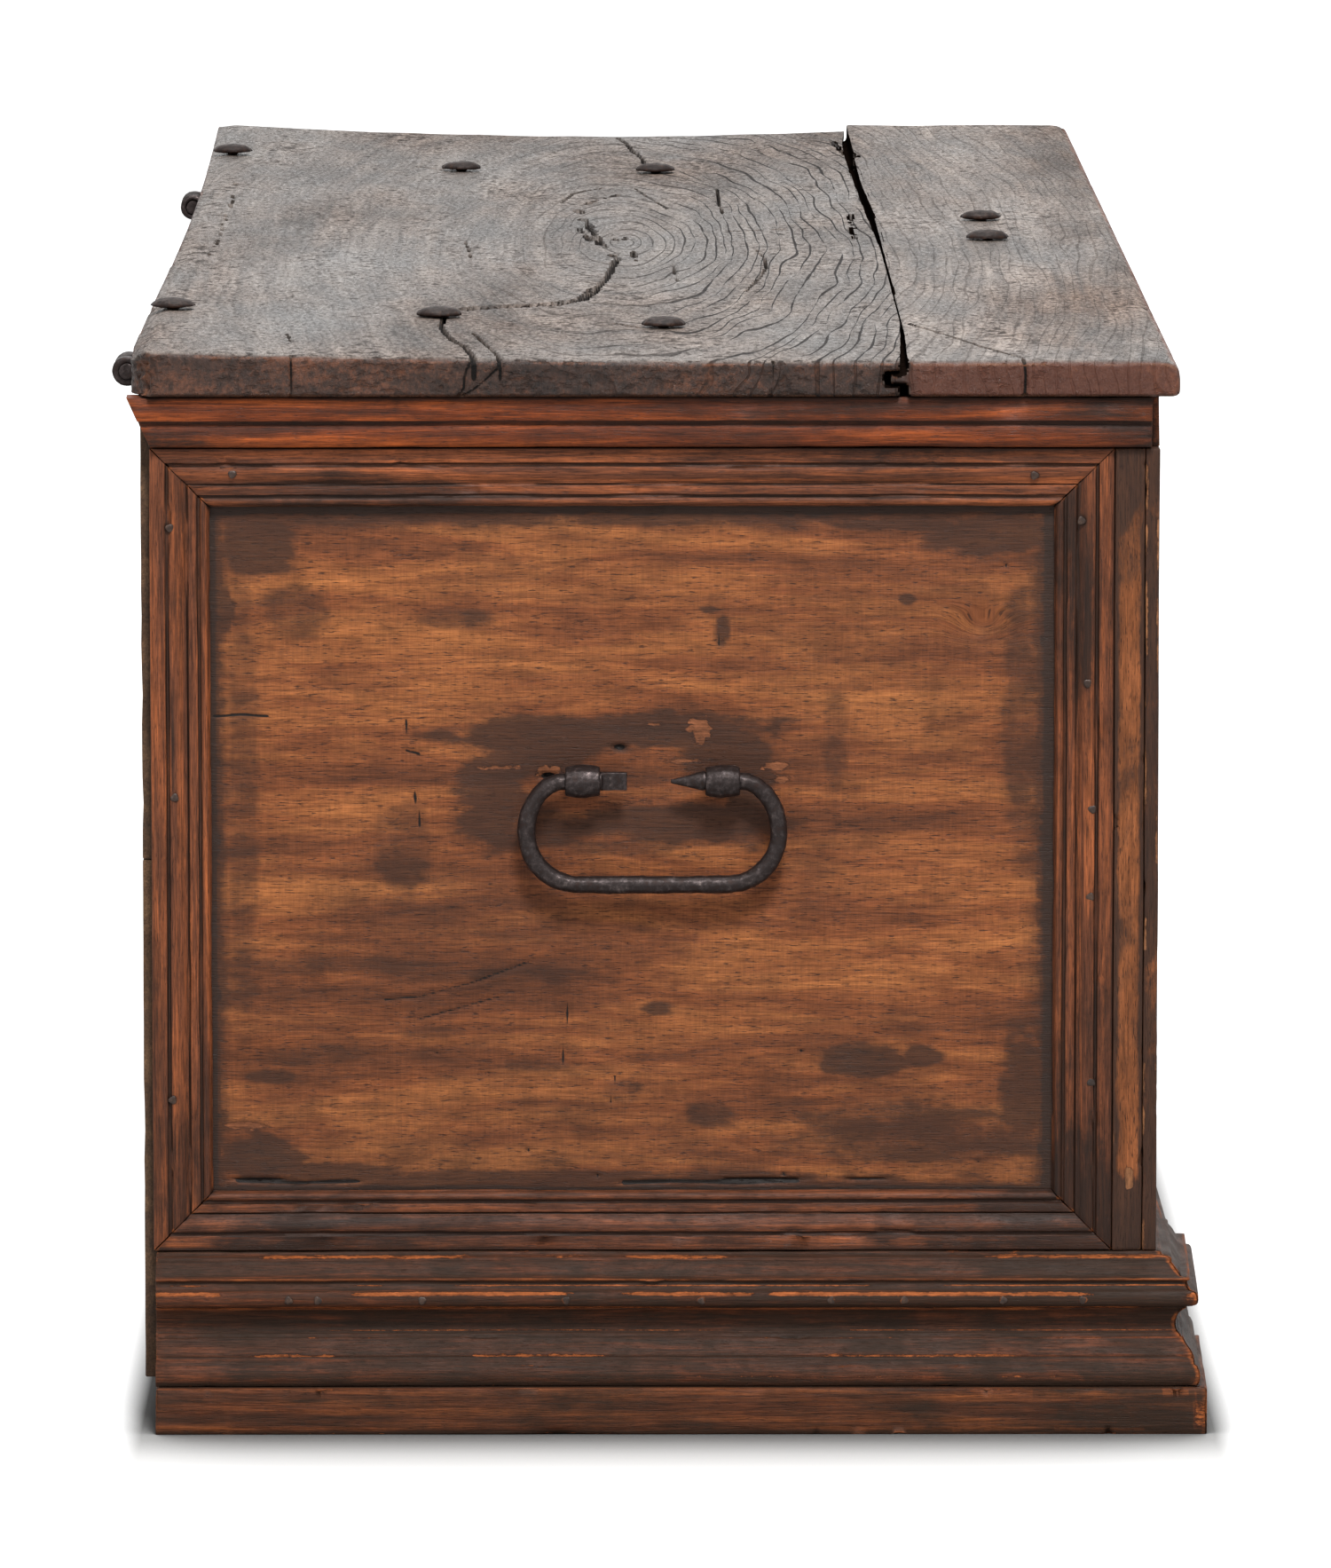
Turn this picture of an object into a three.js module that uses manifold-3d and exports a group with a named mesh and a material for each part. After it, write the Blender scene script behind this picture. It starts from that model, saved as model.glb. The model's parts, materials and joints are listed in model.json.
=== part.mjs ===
// Cassone: a long walnut chest on a moulded plinth, with a lid of two boards on iron strap hinges
// and a forged bail handle at each end. Millimetres: X runs along the chest, -Y is its front, Z is up,
// and the origin is on the floor under the middle of the whole chest.
import * as THREE from "three";
import { mergeVertices } from "three/addons/utils/BufferGeometryUtils.js";
import Module from "manifold-3d";

const wasm = await Module();
wasm.setup();

// Fits
const seam = 0.3; // gap between neighbouring pieces
const overrun = 2; // how far a cutter runs past what it cuts

// Carcase planks
const bodyLength = 1648; // over the end planks
const bodyDepth = 576; // over the front and back planks
const lidUnderside = 599.5; // height of the closed lid's underside
const frontThick = 17;
const backThick = 22;
const endThick = 22;
const bottomThick = 18;
const backLowerHeight = 303; // the back is two planks, one above the other
const bottomFrontShare = 0.54; // the bottom is two boards, side by side

// Facings on the front and ends
const pilasterWidth = 110; // flat boards at the front corners and in the middle
const pilasterThick = 8.5;
const stripThick = 10.7; // strip over the front plank's end grain
const frameWidth = 34.5; // moulding mitred round each panel
const frameProud = 9;
const frameBackInset = 5.5; // end frames stop short of the back plank's outer face

// Base, from the floor up
const plinthHeight = 27;
const plinthProud = 37;
const plinthRail = 95; // width of the plinth's rails, which carry planks and bottom boards
const lowerHeight = 45.5;
const lowerProud = 34;
const upperHeight = 30;
const upperProud = 32;
const baseBackInset = 7; // side mouldings stop short of the back plank's outer face
const breakDepth = 6.5; // the base steps forward under each pilaster
const blockSplay = 4; // the corner blocks open towards the middle of the chest

// Lid
const lidEndOverhang = 26; // past the end planks
const lidFrontOverhang = 11; // past the pilasters
const lidBackOverhang = 8; // past the back plank
const frontBoardWidth = 154;
const frontBoardThick = 22;
const frontBoardRise = 4.5; // the front board thickens towards the right end
const backBoardThick = 27.5; // at its back edge
const cupNear = 2; // hollow of the back board's top at the left end
const cupFar = 6; // and at the right end
const backEdgeHollow = 7; // how far the back edge draws in at mid length
const backArrisWidth = 12; // worn upper arris of the back edge
const backArrisLeft = 9; // how far it is worn down at the left end
const backArrisRest = 2.5; // and along the rest of it
const backArrisFade = 0.25; // share of the lid's length over which that wear fades
const noseRadius = 12; // upper arris of the front edge
const noseUnderRadius = 4;
const endArris = 5;
const tongueThick = 7;
const tongueReach = 10;
const tongueHeight = 7.5; // tongue's underside above the lid's underside
const shutGap = 0.6; // the joint where the boards still meet
const leftGap = 6.5; // the joint where they have shrunk apart
const midGap = 5;
const rightGap = 10;

// End cleats under the lid
const cleatHeight = 29.2;
const cleatThick = 18;
const cleatClear = 1.5; // to the end planks
const cleatFrontReach = 3.5; // past the front plank's outer face
const cleatBackReach = 7.5; // past the back plank's outer face, at the top
const cleatBackSlant = 13.7; // how far its back end slopes in at the bottom
const cleatDropGap = 1; // down to the frames

// Strap hinges
const hingeEndDistance = 270; // from the lid's end to the hinge's middle
const hingeOffset = 16.5; // pin's axis behind the back plank
const knuckleRadius = 9;
const knuckleWidth = 14; // of the lid strap's knuckle
const forkWidth = 9.5; // of each knuckle on the back strap
const knuckleGap = 0.5;
const pinRadius = 4;
const pinBoreGap = 0.4;
const pinHead = 2;
const strapThick = 3;
const strapWidth = 34;
const strapTipWidth = 24;
const strapLength = 336;
const strapSkew = 65;
const backStrapLength = 232;
const backStrapJog = 14; // height over which the back strap bends out to its knuckles

// Forged nails
const nailHeadRadius = 14.5;
const nailHeadHeight = 5.5;
const nailShankRadius = 3;

// Lock inside the front, and its keeper under the lid
const lockLength = 150;
const lockDepth = 36;
const lockHeight = 120;
const lockTopGap = 2; // below the keeper plate
const lockPocket = 20; // depth of the hole that takes the staple
const lockPocketGap = 1.5;
const keeperLength = 184;
const keeperWidth = 56;
const keeperThick = 3;
const keeperNailSpacing = 142;
const keeperNailInset = 86; // from the lid's front edge
const keeperNailEdge = 11; // from the plate's back edge to its nails
const stapleWidth = 26;
const stapleDrop = 17;
const stapleThick = 6;
const stapleEye = 9; // width and height of the hole that the bolt would enter
const keyholeRadius = 5;
const keyholeWidth = 5;
const keyholeDrop = 15;
const keyholeBelowRim = 70;

// Bail handles
const handleHeight = 377; // pivot's height above the floor
const handleShift = -5.75; // from the middle of the carcase's depth
const handleStandoff = 14; // pivot's axis to the end plank
const bailWidth = 156; // over the rod
const bailRod = 10.6;
const bailDrop = 60; // pivot to the middle of the grip
const bailShoulder = 51; // straight through the eye as far as here
const bailTipStart = 29;
const flatTipLength = 14.5;
const flatTipHeight = 8;
const flatTipThick = 4;
const pointTipLength = 19;
const pointTipRadius = 1;
const eyeSpacing = 80.5;
const eyeLength = 20;
const eyeRadius = 9.8;
const eyeRimRadius = 8.3;
const eyeBoreGap = 0.6;
const eyeShankRadius = 4.5;
const clenchLength = 24;
const clenchThick = 4;
const clenchWidth = 7;

// Levels and planes that follow from the sizes above
const hingeReach = hingeOffset + knuckleRadius;
const overallDepth = plinthProud + blockSplay + bodyDepth + hingeReach;
const frontFace = plinthProud + blockSplay - overallDepth / 2;
const backFace = frontFace + bodyDepth;
const halfBody = bodyLength / 2;
const rim = lidUnderside - seam;
const lowerTop = plinthHeight + lowerHeight;
const baseTop = lowerTop + upperHeight;
const frameTop = rim - cleatHeight - cleatDropGap;
const pilasterFace = frontFace - pilasterThick;
const lidFront = pilasterFace - lidFrontOverhang;
const lidBack = backFace + lidBackOverhang;
const lidJoint = lidFront + frontBoardWidth;
const lidLength = bodyLength + 2 * lidEndOverhang;
const hingeX = lidLength / 2 - hingeEndDistance;
const hingeY = backFace + hingeOffset;
const hingeZ = rim - knuckleRadius;
const backTop = rim - strapThick - seam; // the lid straps pass over the back plank
const cornerEdge = halfBody + stripThick;
const pilasterInner = cornerEdge - pilasterWidth;

// Outlines as shares of their own width and height: [x, y] is a straight run, and
// [controlX, controlY, x, y] is a curve.
const frameOutlineShares = [
  [0, 0],
  [0, 0.9],
  [0, 1, 0.03, 1],
  [0.25, 1],
  [0.275, 0.8],
  [0.3, 0.8],
  [0.32, 0.98],
  [0.36, 0.98],
  [0.5, 0.96, 0.575, 0.66],
  [0.6, 0.66],
  [0.62, 0.56],
  [0.64, 0.72],
  [0.79, 0.7],
  [0.8, 0.52],
  [0.83, 0.52],
  [0.85, 0.74, 0.91, 0.7],
  [0.97, 0.66, 0.98, 0.3],
  [1, 0.22],
  [1, 0],
];
const lowerOutlineShares = [
  [0, 0],
  [0.94, 0],
  [1.02, 0.13, 0.93, 0.26],
  [0.89, 0.28],
  [0.88, 0.42, 0.78, 0.5],
  [0.71, 0.56, 0.7, 0.6],
  [0.66, 0.61],
  [0.65, 0.635],
  [0.56, 0.68, 0.575, 0.8],
  [0.6, 0.92, 0.74, 0.98],
  [0.74, 1],
  [0, 1],
];
const upperOutlineShares = [
  [0, 0],
  [0.86, 0],
  [1, 0.02, 1, 0.16],
  [1, 0.29, 0.94, 0.325],
  [0.86, 0.345],
  [0.8, 0.42, 0.8, 0.5],
  [0.86, 0.52],
  [0.86, 0.555],
  [0.7, 0.58],
  [0.62, 0.72, 0.55, 0.8],
  [0.53, 0.82],
  [0.55, 0.91, 0.46, 0.93],
  [0.36, 0.94],
  [0.34, 1],
  [0, 1],
];
const cleatOutlineShares = [
  [0, 0],
  [0.72, 0],
  [0.84, 0.05, 0.84, 0.24],
  [0.84, 0.42, 0.76, 0.48],
  [0.78, 0.52],
  [0.98, 0.53],
  [1, 0.95],
  [0.97, 1],
  [0, 1],
];

// The lid joint's width along the lid, and where each width is reached
const jointGaps = [leftGap, shutGap, shutGap, midGap, rightGap, midGap];
const jointGapShares = [0, 0.13, 0.41, 0.6, 0.9, 1];

// A nail's head, and the rim of a handle's eye, from the middle of its length out
const nailHeadShares = [
  [0, 0],
  [1, 0],
  [0.94, 0.35],
  [0.65, 0.8],
  [0, 1],
];
const eyeSwellShares = [
  [-1, 0],
  [-0.5, 0.7],
  [0, 1],
  [0.5, 0.7],
  [1, 0],
];

// Where the nails of each lid strap sit, as shares of the strap's length and of its skew
const strapNailShares = {
  left: [
    [0.08, 0],
    [0.55, 0.2],
    [0.945, 0.94],
  ],
  right: [
    [0.08, 0],
    [0.55, 1],
    [0.945, 1],
  ],
};

// Facets
const curveSteps = 4;
const roundSides = 16;
const rodSides = 12;
const bailSteps = 48;
const strapSlices = 12;
const lidSlices = 14;
const cupSteps = 8;

const walnut = new THREE.MeshStandardMaterial({ color: 0x7a4425, roughness: 0.55, metalness: 0 });
const darkWalnut = new THREE.MeshStandardMaterial({ color: 0x4a2c20, roughness: 0.5, metalness: 0 });
const lidWalnut = new THREE.MeshStandardMaterial({ color: 0x5b4236, roughness: 0.42, metalness: 0 });
const poplar = new THREE.MeshStandardMaterial({ color: 0x6d5138, roughness: 0.8, metalness: 0 });
const iron = new THREE.MeshStandardMaterial({ color: 0x2e2a28, roughness: 0.5, metalness: 0.85 });

const lerp = THREE.MathUtils.lerp;
const clamp = THREE.MathUtils.clamp;

// A closed geometry as a solid with its faces pointing out
function solid(geometry) {
  const plain = geometry.index ? geometry.toNonIndexed() : geometry.clone();
  plain.deleteAttribute("normal");
  plain.deleteAttribute("uv");
  const merged = mergeVertices(plain, 1e-4);
  const build = (triVerts) =>
    new wasm.Manifold(
      new wasm.Mesh({ numProp: 3, vertProperties: merged.attributes.position.array, triVerts }),
    );
  const faces = new Uint32Array(merged.index.array);
  const made = build(faces);
  return made.volume() < 0 ? build(faces.reverse()) : made;
}

// A named mesh from a solid or a geometry
function piece(name, shape, material) {
  const body = shape.isBufferGeometry ? solid(shape) : shape;
  const made = body.getMesh();
  const geometry = new THREE.BufferGeometry();
  geometry.setAttribute("position", new THREE.BufferAttribute(made.vertProperties, made.numProp));
  geometry.setIndex(new THREE.BufferAttribute(made.triVerts, 1));
  const mesh = new THREE.Mesh(geometry.toNonIndexed(), material);
  mesh.geometry.computeVertexNormals();
  mesh.name = name;
  return mesh;
}

// A box between two corners
function block(x0, x1, y0, y1, z0, z1) {
  const box = new THREE.BoxGeometry(x1 - x0, y1 - y0, z1 - z0);
  return box.translate((x0 + x1) / 2, (y0 + y1) / 2, (z0 + z1) / 2);
}

// An outline of shares, drawn at a real width and height
function outline(shares, width, height) {
  const shape = new THREE.Shape();
  shares.forEach(([a, b, c, d], i) => {
    if (i === 0) shape.moveTo(a * width, b * height);
    else if (c === undefined) shape.lineTo(a * width, b * height);
    else shape.quadraticCurveTo(a * width, b * height, c * width, d * height);
  });
  return shape;
}

// A section drawn in (x, y), carried through numbered stations; place(x, y, station) gives each point
function carried(section, stations, place) {
  const geometry = new THREE.ExtrudeGeometry(section, {
    depth: stations - 1,
    steps: stations - 1,
    bevelEnabled: false,
    curveSegments: curveSteps,
  });
  const at = geometry.attributes.position;
  for (let i = 0; i < at.count; i++) {
    at.setXYZ(i, ...place(at.getX(i), at.getY(i), Math.round(at.getZ(i))));
  }
  return geometry;
}

// A rod's worth of cylinder along X, Y or Z between two places on that axis
function rod(axis, radius, from, to, endRadius = radius, sides = roundSides) {
  const geometry = new THREE.CylinderGeometry(endRadius, radius, to - from, sides);
  geometry.translate(0, (from + to) / 2, 0);
  if (axis === "x") geometry.rotateZ(-Math.PI / 2);
  if (axis === "z") geometry.rotateX(Math.PI / 2);
  return geometry;
}

// Frame: four mitred lengths round a rectangle that stands in the local XY plane, proud along Z
function mouldedFrame(names, width, height) {
  const group = new THREE.Group();
  const section = outline(frameOutlineShares, frameWidth, frameProud);
  const corners = [
    [0, 0],
    [width, 0],
    [width, height],
    [0, height],
  ];
  names.forEach((name, i) => {
    const run = i % 2 === 0 ? width : height;
    const bar = carried(section, 2, (u, w, end) => {
      const mitre = u + seam / 2;
      return [end ? run - mitre : mitre, u, w];
    });
    const mesh = piece(name, bar, darkWalnut);
    mesh.rotation.z = (i * Math.PI) / 2;
    mesh.position.set(...corners[i], 0);
    group.add(mesh);
  });
  return group;
}

// Base moulding: an outline carried past the corners of a plan. Each plan corner is
// [along, back, lean]: its place along the wall, how far it stands back, and which way its mitre leans.
function mouldedRun(section, plan, level) {
  return carried(section, plan.length, (proud, height, k) => {
    const [along, back, lean] = plan[k];
    const out = Math.max(proud, back);
    return [along + lean * out, back - out, level + height];
  });
}

// The front base follows the pilasters: forward under each of them, back between them
function frontPlan() {
  const half = [
    [-halfBody, 0, -1],
    [-pilasterInner, -blockSplay, 1],
    [-pilasterInner, breakDepth, 1],
    [-pilasterWidth / 2, breakDepth, -1],
    [-pilasterWidth / 2, 0, -1],
  ];
  const other = half.map(([along, back, lean]) => [-along, back, -lean]);
  return [...half, ...other.reverse()];
}

function keyholeCutter(depth) {
  const slot = block(-keyholeWidth / 2, keyholeWidth / 2, -overrun, depth, -keyholeDrop, 0);
  const round = rod("y", keyholeRadius, -overrun, depth);
  const cutter = solid(slot).add(solid(round));
  return cutter.translate([0, pilasterFace, rim - keyholeBelowRim]);
}

function makeCarcase() {
  const group = new THREE.Group();
  const bottomLevel = plinthHeight + seam;
  const inFront = frontFace + frontThick + seam;
  const inBack = backFace - backThick - seam;
  const inEnd = halfBody - endThick - seam;
  const floorSplit = lerp(inFront, inBack, bottomFrontShare);
  const keyhole = keyholeCutter(pilasterThick + frontThick + overrun);

  const front = solid(block(-halfBody, halfBody, frontFace, frontFace + frontThick, bottomLevel, rim));
  group.add(piece("front_plank", front.subtract(keyhole), walnut));
  const split = plinthHeight + backLowerHeight;
  const back = [-halfBody, halfBody, backFace - backThick, backFace];
  group.add(piece("back_plank_lower", block(...back, bottomLevel, split), poplar));
  group.add(piece("back_plank_upper", block(...back, split + seam, backTop), poplar));
  const floor = [bottomLevel, bottomLevel + bottomThick];
  group.add(piece("bottom_board_front", block(-inEnd, inEnd, inFront, floorSplit, ...floor), poplar));
  group.add(piece("bottom_board_back", block(-inEnd, inEnd, floorSplit + seam, inBack, ...floor), poplar));
  group.add(makeFront(keyhole));
  group.add(makeFrontBase());
  const rails = [backFace - plinthRail, backFace - baseBackInset, 0, plinthHeight];
  const railEnd = halfBody + plinthProud - plinthRail - seam;
  group.add(piece("plinth_back", block(-railEnd, railEnd, ...rails), darkWalnut));
  for (const side of ["left", "right"]) group.add(makeEnd(side));
  return group;
}

// Pilasters, top rail and the two framed panels of the front
function makeFront(keyhole) {
  const group = new THREE.Group();
  const face = [pilasterFace, frontFace - seam];
  const height = [baseTop + seam, frameTop];
  const middle = pilasterWidth / 2;
  group.add(piece("front_pilaster_left", block(-cornerEdge, -pilasterInner, ...face, ...height), walnut));
  group.add(piece("front_pilaster_right", block(pilasterInner, cornerEdge, ...face, ...height), walnut));
  const centre = solid(block(-middle, middle, ...face, ...height)).subtract(keyhole);
  group.add(piece("front_pilaster_centre", centre, walnut));
  group.add(piece("front_top_rail", block(-halfBody, halfBody, ...face, frameTop + seam, rim), darkWalnut));
  const width = pilasterInner - middle - seam - seam;
  const sides = ["bottom", "right", "top", "left"];
  for (const [panel, x] of [
    ["left", -pilasterInner + seam],
    ["right", middle + seam],
  ]) {
    const names = sides.map((part) => `front_${panel}_frame_${part}`);
    const frame = mouldedFrame(names, width, frameTop - baseTop - seam);
    frame.rotation.x = Math.PI / 2;
    frame.position.set(x, frontFace - seam, baseTop + seam);
    group.add(frame);
  }
  return group;
}

// The plinth's front rail and the two mouldings above it
function makeFrontBase() {
  const group = new THREE.Group();
  const plan = frontPlan();
  const outer = plan.map(([along, back, lean]) => [along + lean * plinthProud, back - plinthProud]);
  const inner = halfBody - plinthRail + plinthProud;
  const shape = new THREE.Shape();
  const points = [[inner, plinthRail - plinthProud], [-inner, plinthRail - plinthProud], ...outer];
  points.forEach(([x, y], i) => (i ? shape.lineTo(x, y) : shape.moveTo(x, y)));
  const rail = new THREE.ExtrudeGeometry(shape, { depth: plinthHeight, bevelEnabled: false });
  group.add(piece("plinth_front", rail, darkWalnut));
  const lower = outline(lowerOutlineShares, lowerProud, lowerHeight - seam);
  const upper = outline(upperOutlineShares, upperProud, upperHeight - seam);
  group.add(piece("base_moulding_lower_front", mouldedRun(lower, plan, plinthHeight + seam), darkWalnut));
  group.add(piece("base_moulding_upper_front", mouldedRun(upper, plan, lowerTop + seam), darkWalnut));
  group.position.y = frontFace - seam;
  return group;
}

// One end of the chest, built for the left and mirrored for the right: x = 0 is the plank's outer
// face, and -x points away from the chest
function makeEnd(side) {
  const group = new THREE.Group();
  group.position.x = side === "left" ? -halfBody : halfBody;
  group.scale.x = side === "left" ? 1 : -1;
  const handleY = (frontFace + backFace) / 2 + handleShift;
  const inFront = frontFace + frontThick + seam;
  const inBack = backFace - backThick - seam;
  let plank = solid(block(0, endThick, inFront, inBack, plinthHeight + seam, rim));
  for (const y of [-eyeSpacing / 2, eyeSpacing / 2]) {
    const hole = rod("x", eyeShankRadius + seam, -overrun, endThick + overrun);
    plank = plank.subtract(solid(hole.translate(0, handleY + y, handleHeight)));
  }
  group.add(piece(`end_plank_${side}`, plank, walnut));

  const stripBack = frontFace + frontThick;
  const strip = block(-stripThick, -seam, frontFace, stripBack, baseTop + seam, frameTop);
  group.add(piece(`corner_strip_${side}`, strip, walnut));
  const names = ["bottom", "front", "top", "back"].map((part) => `end_${side}_frame_${part}`);
  const depth = backFace - frameBackInset - stripBack - seam;
  const frame = mouldedFrame(names, depth, frameTop - baseTop - seam);
  frame.rotation.set(Math.PI / 2, -Math.PI / 2, 0);
  frame.position.set(-seam, backFace - frameBackInset, baseTop + seam);
  group.add(frame);

  // Base: local x of each run points to the front of the chest, where its mitre is
  const base = new THREE.Group();
  const plan = [
    [-backFace + baseBackInset, 0, 0],
    [-frontFace - seam, 0, 1],
  ];
  const lower = outline(lowerOutlineShares, lowerProud, lowerHeight - seam);
  const upper = outline(upperOutlineShares, upperProud, upperHeight - seam);
  const lowerRun = mouldedRun(lower, plan, plinthHeight + seam);
  const upperRun = mouldedRun(upper, plan, lowerTop + seam);
  base.add(piece(`base_moulding_lower_${side}`, lowerRun, darkWalnut));
  base.add(piece(`base_moulding_upper_${side}`, upperRun, darkWalnut));
  const rail = new THREE.Shape();
  const inside = plinthRail - plinthProud;
  rail.moveTo(-backFace + baseBackInset, inside);
  rail.lineTo(-backFace + baseBackInset, -plinthProud);
  rail.lineTo(-frontFace - seam + plinthProud, -plinthProud);
  rail.lineTo(-frontFace - seam - inside, inside);
  const railBody = new THREE.ExtrudeGeometry(rail, { depth: plinthHeight, bevelEnabled: false });
  base.add(piece(`plinth_${side}`, railBody, darkWalnut));
  base.position.x = -seam;
  base.rotation.z = -Math.PI / 2;
  group.add(base);

  const handle = makeHandle(side);
  handle.position.set(-handleStandoff, handleY, handleHeight);
  group.add(handle);
  return group;
}

// Bail and eyes, with the pivot's axis along local y through the origin
function makeHandle(side) {
  const group = new THREE.Group();
  const half = (bailWidth - bailRod) / 2;
  const bend = bailDrop / 2;
  const round = 0.5523; // how far a Bezier handle reaches for a quarter circle
  const at = (y, z) => new THREE.Vector3(0, y, z);
  const grip = half - bend;
  const path = new THREE.CurvePath();
  for (const s of [-1, 1]) {
    const parts = [
      new THREE.LineCurve3(at(s * bailTipStart, 0), at(s * bailShoulder, 0)),
      new THREE.CubicBezierCurve3(
        at(s * bailShoulder, 0),
        at(s * lerp(bailShoulder, half, round), 0),
        at(s * half, -bend * (1 - round)),
        at(s * half, -bend),
      ),
      new THREE.CubicBezierCurve3(
        at(s * half, -bend),
        at(s * half, -bend * (1 + round)),
        at(s * lerp(grip, half, round), -bailDrop),
        at(s * grip, -bailDrop),
      ),
    ];
    if (s < 0) {
      parts.forEach((part) => path.add(part));
      path.add(new THREE.LineCurve3(at(-grip, -bailDrop), at(grip, -bailDrop)));
    } else {
      for (const part of parts.reverse()) path.add(reversed(part));
    }
  }
  const section = new THREE.Shape();
  for (let i = 0; i < rodSides; i++) {
    const angle = (i / rodSides) * Math.PI * 2;
    const point = [(Math.cos(angle) * bailRod) / 2, (Math.sin(angle) * bailRod) / 2];
    if (i) section.lineTo(...point);
    else section.moveTo(...point);
  }
  let bail = solid(new THREE.ExtrudeGeometry(section, { steps: bailSteps, extrudePath: path }));
  const flat = block(
    -flatTipThick / 2,
    flatTipThick / 2,
    bailTipStart - flatTipLength,
    bailTipStart + overrun,
    -flatTipHeight / 2,
    flatTipHeight / 2,
  );
  const pointEnd = -bailTipStart + pointTipLength;
  const point = rod("y", bailRod / 2 - seam, -bailTipStart - overrun, pointEnd, pointTipRadius, rodSides);
  bail = bail.add(solid(flat)).add(solid(point));
  group.add(piece(`handle_bail_${side}`, bail, iron));

  for (const [name, y] of [
    ["front", -eyeSpacing / 2],
    ["back", eyeSpacing / 2],
  ]) {
    const mesh = piece(`handle_eye_${name}_${side}`, makeEye(), iron);
    mesh.position.y = y;
    group.add(mesh);
  }
  return group;
}

function reversed(curve) {
  if (curve.isLineCurve3) return new THREE.LineCurve3(curve.v2, curve.v1);
  return new THREE.CubicBezierCurve3(curve.v3, curve.v2, curve.v1, curve.v0);
}

// A forged eye: a barrel round the bail, on a shank through the plank that is clenched inside
function makeEye() {
  const bore = bailRod / 2 + eyeBoreGap;
  const half = eyeLength / 2;
  const swell = eyeSwellShares.map(([along, out]) => [lerp(eyeRimRadius, eyeRadius, out), along * half]);
  const profile = [[bore, -half], ...swell, [bore, half], [bore, -half]];
  const points = profile.map(([r, y]) => new THREE.Vector2(r, y));
  const barrel = solid(new THREE.LatheGeometry(points, roundSides));
  const inner = handleStandoff + endThick + seam;
  const shank = solid(rod("x", eyeShankRadius, eyeRadius - overrun, inner + clenchThick));
  const wide = clenchWidth / 2;
  const clench = block(inner, inner + clenchThick, -wide, wide, -clenchLength, eyeShankRadius);
  return barrel.add(shank).add(solid(clench));
}

// How far along the lid a place is, from 0 at the left end to 1 at the right end
const alongShare = (x) => clamp(x / lidLength + 0.5, 0, 1);

function jointGap(x) {
  const share = alongShare(x);
  let k = 1;
  while (k < jointGapShares.length - 1 && share > jointGapShares[k]) k++;
  const step = (share - jointGapShares[k - 1]) / (jointGapShares[k] - jointGapShares[k - 1]);
  return lerp(jointGaps[k - 1], jointGaps[k], clamp(step, 0, 1));
}

// Thickness of the lid at a place: the front board grows to the right, the back board is hollow
function lidThick(x, y) {
  const share = alongShare(x);
  if (y < lidJoint) return frontBoardThick + frontBoardRise * share;
  const across = clamp((y - lidJoint) / (lidBack - lidJoint), 0, 1);
  const hollow = 4 * across * (1 - across) * lerp(cupNear, cupFar, share);
  return lerp(frontBoardThick, backBoardThick, across) - hollow;
}

// Where the lid's slices fall: close together at the ends, where the top arris is rounded
function lidStations() {
  const half = lidLength / 2;
  const easing = [0, 0.13, 0.5, 1].map((share) => share * endArris);
  const inner = [];
  for (let i = 1; i < lidSlices; i++) inner.push(lerp(-half + endArris, half - endArris, i / lidSlices));
  return [...easing.map((e) => e - half), ...inner, ...easing.map((e) => half - e).reverse()];
}

// How far the top drops at the lid's ends, a quarter round
function endDrop(x) {
  const inside = Math.min(lidLength / 2 - Math.abs(x), endArris);
  return endArris - Math.sqrt(endArris ** 2 - (endArris - inside) ** 2);
}

// How far the back edge's top arris is worn down: most at the left end
function arrisDrop(x) {
  return lerp(backArrisLeft, backArrisRest, clamp(alongShare(x) / backArrisFade, 0, 1));
}

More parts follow.
